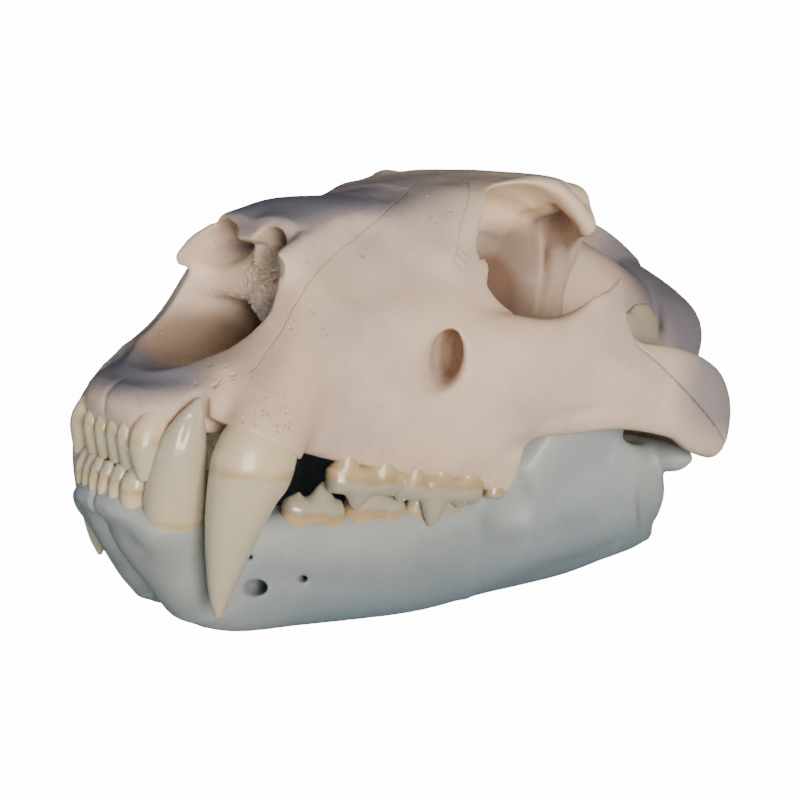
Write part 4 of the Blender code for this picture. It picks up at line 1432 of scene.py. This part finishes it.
@dataclass(frozen=True)
class CheekTooth:
    """A cheek tooth that cuts: a ridge of cusps on two roots."""

    name: str
    front: tuple[float, float]
    back: tuple[float, float]
    base: float
    points_up: int
    half_width: float
    cusps: tuple[Cusp, ...]
    roots: tuple[tuple[float, float], ...]
    body: float = 6.0
    cell: float = 0.5
    neck: float = 3.0

    def at(self, share: float, height: float, aside: float = 0.0) -> Spot:
        """Give a point by its share of the length and its height past the bone's edge.

        Args:
            share: Where along the tooth, from 0 at its front to 1 at its back.
            height: How far past the bone's edge.
            aside: How far out to the side.

        Returns:
            The point.
        """
        x = self.front[0] + (self.back[0] - self.front[0]) * share
        s = self.front[1] + (self.back[1] - self.front[1]) * share
        return (x + aside, s, self.base + self.points_up * height)

    def limb(self, spots: list[Row], up: Spot = (1.0, 0.0, 0.0)) -> Limb:
        """Make a limb from rows of share, height, aside and two radii."""
        return Limb(tuple((*self.at(q, h, a), r, w) for q, h, a, r, w in spots), up=up)

    def build(self, side: Side) -> bpy.types.Object:
        """Model the tooth for one side.

        Args:
            side: The side that it's for.

        Returns:
            The tooth.
        """
        length = math.dist(self.front, self.back)
        tall = max(c.height for c in self.cusps)
        ends = np.array([self.at(0, -13), self.at(1, -13), self.at(0, tall), self.at(1, tall)])
        pad = self.half_width + 5
        clay = Clay(tuple(ends.min(0) - pad), tuple(ends.max(0) + pad), self.cell)
        w, b, n = self.half_width, self.body, self.neck
        mid = n + 0.42 * b
        # The ridge that joins the cusps
        clay.add(self.limb([(0.09, mid, 0, w * 0.78, b * 0.56), (0.3, mid, 0, w, b * 0.62),
                            (0.7, mid, 0, w, b * 0.62), (0.91, mid, 0, w * 0.76, b * 0.54)],
                           up=(0, 0, 1)), 1)
        foot = n * 0.6
        for cusp in self.cusps:
            clay.add(self.limb([(cusp.share, foot, cusp.aside, cusp.half_length, cusp.half_width),
                                (cusp.share, foot + (cusp.height - foot) * 0.5, cusp.aside,
                                 cusp.half_length * 0.74, cusp.half_width * 0.86),
                                (cusp.share, foot + (cusp.height - foot) * 0.82, cusp.aside,
                                 cusp.half_length * 0.38, cusp.half_width * 0.48),
                                (cusp.share, cusp.height - 0.6, cusp.aside, 0.9, 0.8)]), 2.2)
        for share, radius in self.roots:
            clay.add(self.limb([(share, n + 1.5, 0, radius, w * 0.86),
                                (share, -3.0, 0, radius * 0.95, w * 0.8),
                                (share, -11.0, 0, radius * 0.55, w * 0.5)]), 2.0)
        points, faces = clay.skin()
        points = relax(points, faces, 2)
        # The enamel's edge dips over each root
        crown = (points[:, 2] - self.base) * self.points_up
        along = ((points[:, 0] - self.front[0]) * (self.back[0] - self.front[0])
                 + (points[:, 1] - self.front[1]) * (self.back[1] - self.front[1])) / length ** 2
        dip = sum(np.exp(-((along - share) * length / (radius * 1.1)) ** 2) for share, radius in self.roots)
        piece = to_object(f"{self.name}_{side.word}", *flipped(points, faces, side))
        paint(piece, "crown", crown - n - 0.8 + 1.6 * dip)
        piece.data.shade_smooth()
        return piece


@dataclass(frozen=True)
class LongTooth:
    """A canine or an incisor: a bent cone with its root."""

    name: str
    rows: tuple[Row, ...]
    enamel_line: float
    points_up: int
    cell: float = 0.6
    grooves: tuple[tuple[tuple[Row, ...], float], ...] = ()
    lobes: tuple[float, float, float] | None = None

    def build(self, side: Side) -> bpy.types.Object:
        """Model the tooth for one side.

        Args:
            side: The side that it's for.

        Returns:
            The tooth.
        """
        rows = np.array(self.rows)
        pad = rows[:, 3:5].max() + 3
        clay = Clay(tuple(rows[:, :3].min(0) - pad), tuple(rows[:, :3].max(0) + pad), self.cell)
        clay.add(Limb(self.rows, up=(0, 1, 0), steps=6), 1)
        if self.lobes:
            aside, foot, tip = self.lobes
            x, s = rows[-1, 0], rows[-1, 1]
            for way in (-1, 1):
                clay.add(Limb(((x + way * aside, s, foot, 1.6, 2.6),
                               (x + way * aside * 1.15, s, tip, 0.9, 1.2)), up=(0, 1, 0)), 1.0)
        for groove, blend in self.grooves:
            clay.cut(Limb(groove, up=(0, 1, 0), steps=5), blend)
        points, faces = clay.skin()
        points = relax(points, faces, 2)
        crown = (points[:, 2] - self.enamel_line) * self.points_up
        piece = to_object(f"{self.name}_{side.word}", *flipped(points, faces, side))
        paint(piece, "crown", crown)
        piece.data.shade_smooth()
        return piece


@dataclass
class Dentition:
    """Every tooth, by its place in the row."""

    cheek: tuple[CheekTooth, ...] = (
        CheekTooth("upper_premolar_3", (41.8, 70.5), (50.3, 100.8), 75.0, -1, 5.6,
                   (Cusp(0.1, 9, 3.6, 4.0), Cusp(0.46, 17.5, 8.4, 5.2), Cusp(0.8, 11, 5.0, 4.6),
                    Cusp(0.97, 11.5, 4.4, 4.2)), ((0.22, 5.0), (0.76, 5.6)), 7.0, 0.5, 4.0),
        CheekTooth("upper_carnassial", (50.7, 101.9), (61.8, 141), 72.0, -1, 5.4,
                   (Cusp(0.02, 10.5, 4.4, 4.2), Cusp(0.17, 10.5, 4.4, 4.4), Cusp(0.44, 20.5, 8.6, 5.2),
                    Cusp(0.74, 12.5, 7.0, 4.4), Cusp(0.9, 11, 4.4, 3.6)),
                   ((0.14, 4.8), (0.45, 5.2), (0.82, 6.6)), 7.0, 0.55, 2.4),
        CheekTooth("upper_molar", (61.5, 144), (65, 150.5), 71.5, -1, 3.6,
                   (Cusp(0.3, 5.4, 2.8, 2.6), Cusp(0.8, 5.6, 2.8, 2.6)), ((0.5, 3.2),), 3.6, 0.4, 3.4),
        CheekTooth("lower_premolar_3", (31.8, 60), (38.6, 84.5), 51.0, 1, 5.2,
                   (Cusp(0.14, 9.4, 3.6, 3.8), Cusp(0.22, 11.6, 3.6, 3.8), Cusp(0.62, 16.2, 7.4, 4.8),
                    Cusp(0.93, 8.4, 3.0, 3.8)), ((0.24, 4.4), (0.78, 4.8)), 6.4, 0.5, 3.0),
        CheekTooth("lower_premolar_4", (39.4, 86.5), (46, 111), 53.0, 1, 5.2,
                   (Cusp(0.1, 10, 3.6, 3.8), Cusp(0.46, 19, 7.6, 4.8), Cusp(0.8, 12, 4.6, 4.2),
                    Cusp(0.93, 8.5, 2.8, 3.6)), ((0.22, 4.6), (0.76, 5.0)), 6.6, 0.5, 3.4),
        CheekTooth("lower_carnassial", (46.8, 113), (54, 141), 55.5, 1, 5.0,
                   (Cusp(0.24, 16, 8.2, 4.4), Cusp(0.74, 18, 8.2, 4.4)), ((0.24, 5.8), (0.76, 5.2)), 7.0,
                   0.5, 2.6),
    )
    long: tuple[LongTooth, ...] = (
        LongTooth("upper_canine", (
            (36.5, 62, 122, 4, 6), (39.5, 48.5, 104, 6.6, 9.6), (42, 38.5, 92, 9.2, 12.8),
            (43.2, 33.4, 81, 11.5, 15.5), (43.3, 31.2, 73.5, 11.9, 15.9), (43, 29.4, 66, 10.4, 13.9),
            (42, 28.5, 54.8, 8.4, 11.2), (41, 28.3, 42.3, 6.0, 8.0), (39.3, 29.4, 28.7, 3.3, 4.3),
            (38.1, 31, 20.2, 1.0, 1.2)), 74.2, -1, grooves=(
            (((53.5, 22.5, 70, 0.9, 0.7), (50, 19.5, 52, 1.1, 0.8), (45.5, 22, 34, 0.8, 0.6),
              (42, 26, 25, 0.4, 0.4)), 1.6),
            (((56, 30, 66, 0.7, 0.7), (51.5, 29, 48, 0.9, 0.8), (44, 30.5, 29, 0.4, 0.4)), 1.6))),
        LongTooth("lower_canine", (
            (15, 42, 24, 4.6, 6.2), (18.5, 30.5, 38, 6.4, 8.8), (21.9, 19.6, 50, 8.0, 10.8),
            (23.2, 16.4, 61, 8.7, 11.7), (25.2, 14.5, 71.3, 7.9, 10.4), (27.2, 13.7, 80.5, 6.2, 8.6),
            (28.6, 14.3, 88.6, 3.8, 5.3), (29.6, 15.6, 95.4, 1.1, 1.3)), 50.8, 1, grooves=(
            (((34, 6.2, 70, 0.9, 0.8), (34, 8.5, 80, 1.1, 1.0), (32.2, 11.3, 89, 0.7, 0.7)), 1.8),
            (((35.8, 11.2, 72, 0.8, 0.8), (34.6, 12.7, 83, 0.9, 0.9), (31.6, 14.3, 91, 0.4, 0.5)), 1.6))),
        LongTooth("upper_incisor_1", (
            (3.6, 8.6, 92, 2.0, 2.6), (3.7, 5.4, 87, 2.6, 3.4), (3.8, 2.6, 80, 3.4, 4.2),
            (3.8, 2.8, 74, 3.4, 3.3), (3.8, 3.2, 68.2, 2.8, 1.4)), 80.0, -1, 0.4, lobes=(2.3, 74.0, 71.0)),
        LongTooth("upper_incisor_2", (
            (9.8, 9.6, 92, 2.0, 2.6), (10.3, 6.2, 87, 2.7, 3.5), (10.7, 2.8, 80, 3.3, 4.6),
            (10.8, 3.0, 74, 3.4, 3.6), (10.9, 3.4, 67.6, 2.8, 1.5)), 80.0, -1, 0.4, lobes=(2.4, 74.0, 70.6)),
        LongTooth("upper_incisor_3", (
            (16.4, 14, 95, 2.4, 3), (17.2, 11.4, 91.5, 3.6, 4.6), (18.2, 8.2, 86.5, 4.6, 6.2),
            (18.9, 5.6, 79.5, 5.3, 7.5), (19.6, 4.8, 72.5, 4.3, 5.9),
            (20.8, 3.6, 66, 1.7, 1.9)), 79.6, -1, 0.45),
        LongTooth("lower_incisor_1", (
            (2.7, 11, 42, 1.8, 2.8), (2.8, 5, 52, 2.2, 3.6), (2.9, 2.1, 60, 2.4, 3.8),
            (2.9, 1.6, 67.6, 2.1, 1.4)), 61.6, 1, 0.4, lobes=(1.4, 64.0, 66.4)),
        LongTooth("lower_incisor_2", (
            (8.0, 12, 42, 2.2, 3.2), (8.3, 6, 52, 2.6, 3.8), (8.6, 3.1, 60, 2.9, 4.0),
            (8.7, 2.6, 67.6, 2.5, 1.6)), 61.4, 1, 0.4, lobes=(1.8, 64.0, 66.4)),
        LongTooth("lower_incisor_3", (
            (13.4, 15, 42, 2.6, 3.6), (14, 9, 50, 3.2, 4.4), (14.5, 5.4, 58, 3.6, 4.8),
            (14.9, 4.6, 63.5, 3.9, 4.6), (15.4, 4.6, 67.8, 2.8, 2.2)), 60.4, 1, 0.4, lobes=(2.4, 62.0, 65.2)),
    )

    def build(self) -> list[bpy.types.Object]:
        """Model all the teeth of both sides."""
        return [tooth.build(side) for tooth in (*self.long, *self.cheek) for side in Side]


# Finishes

class Graph:
    """Short calls for the nodes of a shader or geometry tree."""

    def __init__(self, tree: bpy.types.NodeTree) -> None:
        """Keep the tree."""
        self.tree = tree

    def node(self, kind: str, **settings: object) -> bpy.types.Node:
        """Add a node and set its properties.

        Args:
            kind: The node's type.
            settings: Its properties, by name.

        Returns:
            The node.
        """
        node = self.tree.nodes.new(kind)
        for name, value in settings.items():
            setattr(node, name, value)
        return node

    def feed(self, value: object, socket: Socket) -> None:
        """Link a socket, or set a plain value, on an input.

        Args:
            value: A socket to link, or a plain value.
            socket: The input.
        """
        if isinstance(value, bpy.types.NodeSocket):
            self.tree.links.new(value, socket)
        elif isinstance(value, tuple) and len(value) == 3 and len(socket.default_value) == 4:
            socket.default_value = (*value, 1.0)
        else:
            socket.default_value = value

    def math(self, operation: str, a: object, b: object = 0.0, clamp: bool = False) -> Socket:
        """Work out a number from two.

        Args:
            operation: What to do with them.
            a: The first number.
            b: The second number.
            clamp: Whether the result is kept from 0 to 1.

        Returns:
            The result.
        """
        node = self.node("ShaderNodeMath", operation=operation, use_clamp=clamp)
        self.feed(a, node.inputs[0])
        self.feed(b, node.inputs[1])
        return node.outputs[0]

    def noise(self, where: Socket, scale: object, detail: float = 3.0, rough: float = 0.55) -> Socket:
        """Give a cloudy noise, from 0 to 1.

        Args:
            where: The place it's read at.
            scale: How fine it is.
            detail: How many layers it has.
            rough: How strong the finer layers are.

        Returns:
            The noise.
        """
        node = self.node("ShaderNodeTexNoise")
        self.feed(where, node.inputs["Vector"])
        for name, value in (("Scale", scale), ("Detail", detail), ("Roughness", rough)):
            self.feed(value, node.inputs[name])
        return node.outputs["Fac"]

    def spread(self, value: Socket, low: float, high: float, to_low: float = 0.0,
               to_high: float = 1.0) -> Socket:
        """Stretch a range smoothly onto another.

        Args:
            value: The number.
            low: Where the range starts.
            high: Where it ends.
            to_low: What its start becomes.
            to_high: What its end becomes.

        Returns:
            The new number.
        """
        node = self.node("ShaderNodeMapRange", interpolation_type="SMOOTHSTEP")
        self.feed(value, node.inputs["Value"])
        for name, number in (("From Min", low), ("From Max", high), ("To Min", to_low), ("To Max", to_high)):
            self.feed(number, node.inputs[name])
        return node.outputs["Result"]

    def mix(self, share: object, a: object, b: object, how: str = "MIX") -> Socket:
        """Mix two colours.

        Args:
            share: How much of the second colour shows, from 0 to 1.
            a: The first colour.
            b: The second colour.
            how: The way that they are mixed.

        Returns:
            The mixed colour.
        """
        node = self.node("ShaderNodeMix", data_type="RGBA", blend_type=how)
        self.feed(share, node.inputs[0])
        self.feed(a, node.inputs[6])
        self.feed(b, node.inputs[7])
        return node.outputs[2]

    def bump(self, height: Socket, strength: float, depth: float) -> Socket:
        """Turn a height into relief.

        Args:
            height: The height, from 0 to 1.
            strength: How much of the relief shows.
            depth: How deep it is, in metres.

        Returns:
            The direction for a shader's Normal input.
        """
        node = self.node("ShaderNodeBump")
        self.feed(strength, node.inputs["Strength"])
        self.feed(depth, node.inputs["Distance"])
        self.feed(height, node.inputs["Height"])
        return node.outputs["Normal"]

    def by_ray(self, seen: Socket, unseen: Socket) -> Socket:
        """Show the camera one shader and every other ray another.

        Args:
            seen: The shader for the camera.
            unseen: The shader that the light meets.

        Returns:
            The two joined.
        """
        choose = self.node("ShaderNodeMixShader")
        self.feed(self.node("ShaderNodeLightPath").outputs["Is Camera Ray"], choose.inputs[0])
        self.feed(unseen, choose.inputs[1])
        self.feed(seen, choose.inputs[2])
        return choose.outputs[0]

    def layer(self, name: str) -> Socket:
        """Read a number kept on the piece's points."""
        return self.node("ShaderNodeAttribute", attribute_name=name).outputs["Fac"]


def grain_group() -> bpy.types.ShaderNodeTree:
    """Make the fine relief that dry bone and dentine share.

    Returns:
        A group that puts out a height, a mask of open pores and a cloudy mask.
    """
    tree = bpy.data.node_groups.new("dry_grain", "ShaderNodeTree")
    tree.interface.new_socket("Place", in_out="INPUT", socket_type="NodeSocketVector")
    for name, value in (("Grain size", 900.0), ("Pore size", 420.0), ("Pores", 0.3), ("Cloud size", 22.0)):
        socket = tree.interface.new_socket(name, in_out="INPUT", socket_type="NodeSocketFloat")
        socket.default_value = value
    for name in ("Height", "Pore mask", "Cloud"):
        tree.interface.new_socket(name, in_out="OUTPUT", socket_type="NodeSocketFloat")
    g = Graph(tree)
    given = g.node("NodeGroupInput").outputs
    result = g.node("NodeGroupOutput").inputs
    fine = g.noise(given["Place"], given["Grain size"], 4.0, 0.6)
    cells = g.node("ShaderNodeTexVoronoi", feature="F1")
    g.feed(given["Place"], cells.inputs["Vector"])
    g.feed(given["Pore size"], cells.inputs["Scale"])
    where = g.noise(given["Place"], 60.0, 2.0)
    near = g.spread(cells.outputs["Distance"], 0.12, 0.3, 1.0, 0.0)
    threshold = g.math("SUBTRACT", 1.0, given["Pores"])
    kept = g.math("MULTIPLY", near, g.math("GREATER_THAN", where, g.math("MULTIPLY", threshold, 0.8)))
    cloud = g.noise(given["Place"], given["Cloud size"], 4.0, 0.6)
    height = g.math("SUBTRACT", fine, g.math("MULTIPLY", kept, 0.9))
    g.feed(height, result["Height"])
    g.feed(kept, result["Pore mask"])
    g.feed(cloud, result["Cloud"])
    return tree


@dataclass(frozen=True)
class Bone:
    """Dry bone: a pale ground with warmer and cooler tones at random, painted shade in hollows, on upward
    faces and towards the jaw's lower edge, patches of painted light and shade, and dark sutures and pores.
    """

    name: str
    pale: Colour
    warm: Colour
    cool: Colour
    stain: Colour
    tan: Colour
    roughness: float
    pores: float

    def build(self, grain: bpy.types.ShaderNodeTree) -> bpy.types.Material:
        """Make the material.

        Args:
            grain: The fine relief's group.

        Returns:
            The material.
        """
        material = bpy.data.materials.new(self.name)
        material.use_nodes = True
        g = Graph(material.node_tree)
        shader = material.node_tree.nodes["Principled BSDF"]
        place = g.node("ShaderNodeTexCoord").outputs["Object"]
        group = g.node("ShaderNodeGroup", node_tree=grain)
        g.feed(place, group.inputs["Place"])
        group.inputs["Pores"].default_value = self.pores
        broad = g.noise(place, 9.0, 3.0)
        colour = g.mix(g.spread(broad, 0.35, 0.65), self.pale, self.warm)
        cloudy = g.math("MULTIPLY", g.spread(group.outputs["Cloud"], 0.42, 0.72), 0.35)
        colour = g.mix(cloudy, colour, self.cool)
        # Painted slate-blue shade: on upward faces, at the back, round the nose's lip and towards the jaw's
        # lower edge
        colour = g.mix(g.layer("cool"), colour, self.cool)
        # Painted light on the orbit's roof, in the nose and on the jaw's blade, painted shade on the cheek
        colour = g.mix(g.layer("tan"), colour, self.tan)
        # Painted dark shade deep in the hollows
        colour = g.mix(g.layer("stain"), colour, self.stain)
        marks = g.math("MULTIPLY", group.outputs["Pore mask"], g.layer("porous"))
        colour = g.mix(g.math("MULTIPLY", marks, 0.55), colour, self.stain)
        colour = g.mix(g.math("MULTIPLY", g.layer("suture"), 0.38), colour, self.stain)
        g.feed(colour, shader.inputs["Base Color"])
        g.feed(g.spread(group.outputs["Cloud"], 0.3, 0.7, self.roughness - 0.06, self.roughness + 0.08),
               shader.inputs["Roughness"])
        shader.inputs["Subsurface Weight"].default_value = 0.12
        shader.inputs["Subsurface Scale"].default_value = 0.004
        shader.inputs["Specular IOR Level"].default_value = 0.4
        g.feed(g.bump(group.outputs["Height"], 0.25, 0.0004), shader.inputs["Normal"])
        return material


@dataclass(frozen=True)
class Enamel:
    """A tooth: glossy enamel past the neck, amber at the neck, duller root below."""

    name: str
    crown: Colour
    tip: Colour
    neck: Colour
    root: Colour
    roughness: float

    def build(self, grain: bpy.types.ShaderNodeTree) -> bpy.types.Material:
        """Make the material.

        Args:
            grain: The fine relief's group.

        Returns:
            The material.
        """
        material = bpy.data.materials.new(self.name)
        material.use_nodes = True
        g = Graph(material.node_tree)
        shader = material.node_tree.nodes["Principled BSDF"]
        place = g.node("ShaderNodeTexCoord").outputs["Object"]
        group = g.node("ShaderNodeGroup", node_tree=grain)
        g.feed(place, group.inputs["Place"])
        group.inputs["Grain size"].default_value = 260.0
        group.inputs["Cloud size"].default_value = 70.0
        wander = g.math("MULTIPLY", g.math("SUBTRACT", g.noise(place, 160.0, 2.0), 0.5), 3.0)
        past = g.math("ADD", g.layer("crown"), wander)
        colour = g.mix(g.spread(past, 4.0, 34.0), self.crown, self.tip)
        colour = g.mix(g.spread(past, -0.8, 1.4, 1.0, 0.0), colour, self.root)
        band = g.math("MULTIPLY", g.spread(past, -3.0, -0.2), g.spread(past, 0.2, 3.0, 1.0, 0.0))
        patch = g.spread(group.outputs["Cloud"], 0.3, 0.65, 0.25, 1.0)
        colour = g.mix(g.math("MULTIPLY", band, patch), colour, self.neck)
        g.feed(colour, shader.inputs["Base Color"])
        g.feed(g.spread(past, -1.0, 1.0, self.roughness + 0.2, self.roughness), shader.inputs["Roughness"])
        shader.inputs["Subsurface Weight"].default_value = 0.2
        shader.inputs["Subsurface Scale"].default_value = 0.003
        shader.inputs["Coat Roughness"].default_value = 0.08
        shader.inputs["Coat Weight"].default_value = 0.35
        g.feed(g.bump(group.outputs["Height"], 0.12, 0.0003), shader.inputs["Normal"])
        return material


class Finishes:
    """Every material of the skull."""

    def __init__(self) -> None:
        """Make the materials."""
        grain = grain_group()
        self.skull = Bone("skull_bone", (0.70, 0.555, 0.435), (0.66, 0.50, 0.37), (0.20, 0.192, 0.235),
                          (0.17, 0.10, 0.065), (0.82, 0.62, 0.42), 0.5, 0.45).build(grain)
        # The jaw's bluish ground is painted cool light: the same bone as the skull, shown as a cooler copy
        self.jaw = Bone("jaw_bone", (0.35, 0.405, 0.42), (0.385, 0.41, 0.39), (0.13, 0.18, 0.22),
                        (0.13, 0.10, 0.08), (0.38, 0.335, 0.25), 0.46, 0.35).build(grain)
        # The cheek teeth's enamel is a darker copy of the same enamel, as painted shade
        self.cheek = Enamel("cheek_enamel", (0.39, 0.37, 0.275), (0.37, 0.36, 0.29), (0.40, 0.285, 0.14),
                            (0.50, 0.38, 0.22), 0.2).build(grain)
        self.tooth = Enamel("enamel", (0.55, 0.495, 0.345), (0.50, 0.465, 0.345), (0.50, 0.39, 0.21),
                            (0.66, 0.54, 0.36), 0.2).build(grain)

    def enamel(self, name: str) -> bpy.types.Material:
        """Choose a tooth's material by its name, since the cheek teeth get a darker copy of the enamel as
        painted shade.
        """
        return self.cheek if "molar" in name or "carnassial" in name else self.tooth


def dress(piece: bpy.types.Object, material: bpy.types.Material) -> None:
    """Give a piece its material."""
    piece.data.materials.clear()
    piece.data.materials.append(material)


# Studio

@dataclass(frozen=True)
class Lamp:
    """A soft square lamp: its place, size in metres, power in watts and colour."""

    place: Spot
    size: float
    power: float
    colour: Colour


@dataclass
class Studio:
    """The floor, the lights and the camera, in metres and watts."""

    lamps: tuple[Lamp, ...] = (
        Lamp((1.1, -0.58, 0.28), 0.6, 23, (1.0, 0.90, 0.80)),
        Lamp((-0.8, -1.2, 0.12), 0.9, 6.0, (0.68, 0.84, 1.0)),
        Lamp((-0.5, 0.7, 1.3), 1.2, 0.7, (0.74, 0.84, 1.0)),
        Lamp((-0.9, 1.1, 0.16), 0.3, 6.0, (0.9, 0.95, 1.0)),
    )
    aim: Spot = (0.0, 0.0, 0.08)
    # How bright the floor and the background look to the camera, and how much the sky lights
    floor_glow: float = 14.0
    backdrop_glow: float = 15.0
    sky_glow: float = 0.13
    # The floor's sheet: how far it reaches before and behind, its bend, its height and half width
    near: float = 3.0
    far: float = 4.0
    bend: float = 1.6
    rise: float = 7.0
    half_width: float = 8.0
    away: Spot = (-0.7143, 0.6985, 0)
    # The camera: its place, the directions of its picture, its lens in millimetres and its shift
    stand: Spot = (0.2969, -0.35907, 0.1757)
    right: Spot = (0.7143, 0.6985, 0.0439)
    up: Spot = (-0.1566, 0.0983, 0.9828)
    lens: float = 45.09
    sensor: float = 36.0
    shift: tuple[float, float] = (0.0526, -0.0554)

    def build(self) -> None:
        """Set up the studio."""
        self.floor()
        self.camera()
        self.light()

    def sheet(self) -> bpy.types.Mesh:
        """Make the floor's sheet, which sweeps up behind into a wall.

        Returns:
            The mesh.
        """
        line = [(-self.near, 0.0), (self.far - self.bend, 0.0)]
        for degrees in range(6, 91, 6):
            a = math.radians(degrees)
            line.append((self.far - self.bend + self.bend * math.sin(a), self.bend - self.bend * math.cos(a)))
        line.append((self.far, self.rise))
        away, up = Vector(self.away).normalized(), Vector((0, 0, 1))
        side = Vector((away.y, -away.x, 0))
        points = [away * d + up * z + side * w for d, z in line for w in (-self.half_width, self.half_width)]
        faces = [(2 * i, 2 * i + 1, 2 * i + 3, 2 * i + 2) for i in range(len(line) - 1)]
        mesh = bpy.data.meshes.new("floor")
        mesh.from_pydata([tuple(p) for p in points], [], faces)
        mesh.update()
        mesh.shade_smooth()
        return mesh

    def floor(self) -> None:
        """Lay the pale floor, which looks white to the camera and lights the skull less."""
        floor = bpy.data.objects.new("floor", self.sheet())
        bpy.context.scene.collection.objects.link(floor)
        material = bpy.data.materials.new("pale_floor")
        material.use_nodes = True
        g = Graph(material.node_tree)
        seen = material.node_tree.nodes["Principled BSDF"]
        seen.inputs["Base Color"].default_value = (0.92, 0.92, 0.92, 1)
        seen.inputs["Roughness"].default_value = 0.9
        seen.inputs["Emission Color"].default_value = (1, 1, 1, 1)
        seen.inputs["Emission Strength"].default_value = self.floor_glow
        unseen = g.node("ShaderNodeBsdfDiffuse")
        unseen.inputs["Color"].default_value = (0.30, 0.34, 0.38, 1)
        surface = material.node_tree.nodes["Material Output"].inputs["Surface"]
        g.feed(g.by_ray(seen.outputs[0], unseen.outputs[0]), surface)
        floor.data.materials.append(material)

    def camera(self) -> None:
        """Stand the camera where the photograph was taken from."""
        camera = bpy.data.cameras.new("camera")
        camera.lens = self.lens
        camera.sensor_width = self.sensor
        camera.shift_x, camera.shift_y = self.shift
        camera.clip_start = 0.01
        view = bpy.data.objects.new("camera", camera)
        right, up = Vector(self.right).normalized(), Vector(self.up).normalized()
        back = right.cross(up).normalized()
        up = back.cross(right)
        turn = Matrix((right, up, back)).transposed().to_4x4()
        view.matrix_world = Matrix.Translation(self.stand) @ turn
        bpy.context.scene.collection.objects.link(view)
        bpy.context.scene.camera = view

    def light(self) -> None:
        """Hang the lamps and set the surrounding light."""
        for lamp in self.lamps:
            data = bpy.data.lights.new("lamp", "AREA")
            data.size = lamp.size
            data.energy = lamp.power
            data.color = lamp.colour
            holder = bpy.data.objects.new("lamp", data)
            holder.location = lamp.place
            aim = Vector(self.aim) - Vector(lamp.place)
            holder.rotation_euler = aim.to_track_quat("-Z", "Y").to_euler()
            bpy.context.scene.collection.objects.link(holder)
        world = bpy.data.worlds.new("studio")
        world.use_nodes = True
        g = Graph(world.node_tree)
        sky = world.node_tree.nodes["Background"]
        sky.inputs["Color"].default_value = (0.86, 0.9, 0.96, 1)
        sky.inputs["Strength"].default_value = self.sky_glow
        shown = g.node("ShaderNodeBackground")
        shown.inputs["Color"].default_value = (1, 1, 1, 1)
        shown.inputs["Strength"].default_value = self.backdrop_glow
        surface = world.node_tree.nodes["World Output"].inputs["Surface"]
        g.feed(g.by_ray(shown.outputs[0], sky.outputs[0]), surface)
        bpy.context.scene.world = world


def main() -> None:
    """Build the skull and its studio."""
    logging.basicConfig(level=logging.INFO, format="%(message)s")
    finishes = Finishes()
    for piece in Cranium(Marks()).build():
        dress(piece, finishes.skull)
        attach(piece, "root")
        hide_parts(*Cranium.stands_for[piece.name])
        LOG.info("%s: %d faces", piece.name, len(piece.data.polygons))
    for side in Side:
        jaw = Mandible(side).build()
        dress(jaw, finishes.jaw)
        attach(jaw, "root")
        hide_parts("mandible_" + side.word)
        LOG.info("%s: %d faces", jaw.name, len(jaw.data.polygons))
    for tooth in Dentition().build():
        dress(tooth, finishes.enamel(tooth.name))
        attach(tooth, "root")
        LOG.info("%s: %d faces", tooth.name, len(tooth.data.polygons))
    Studio().build()


if __name__ == "__main__":
    main()
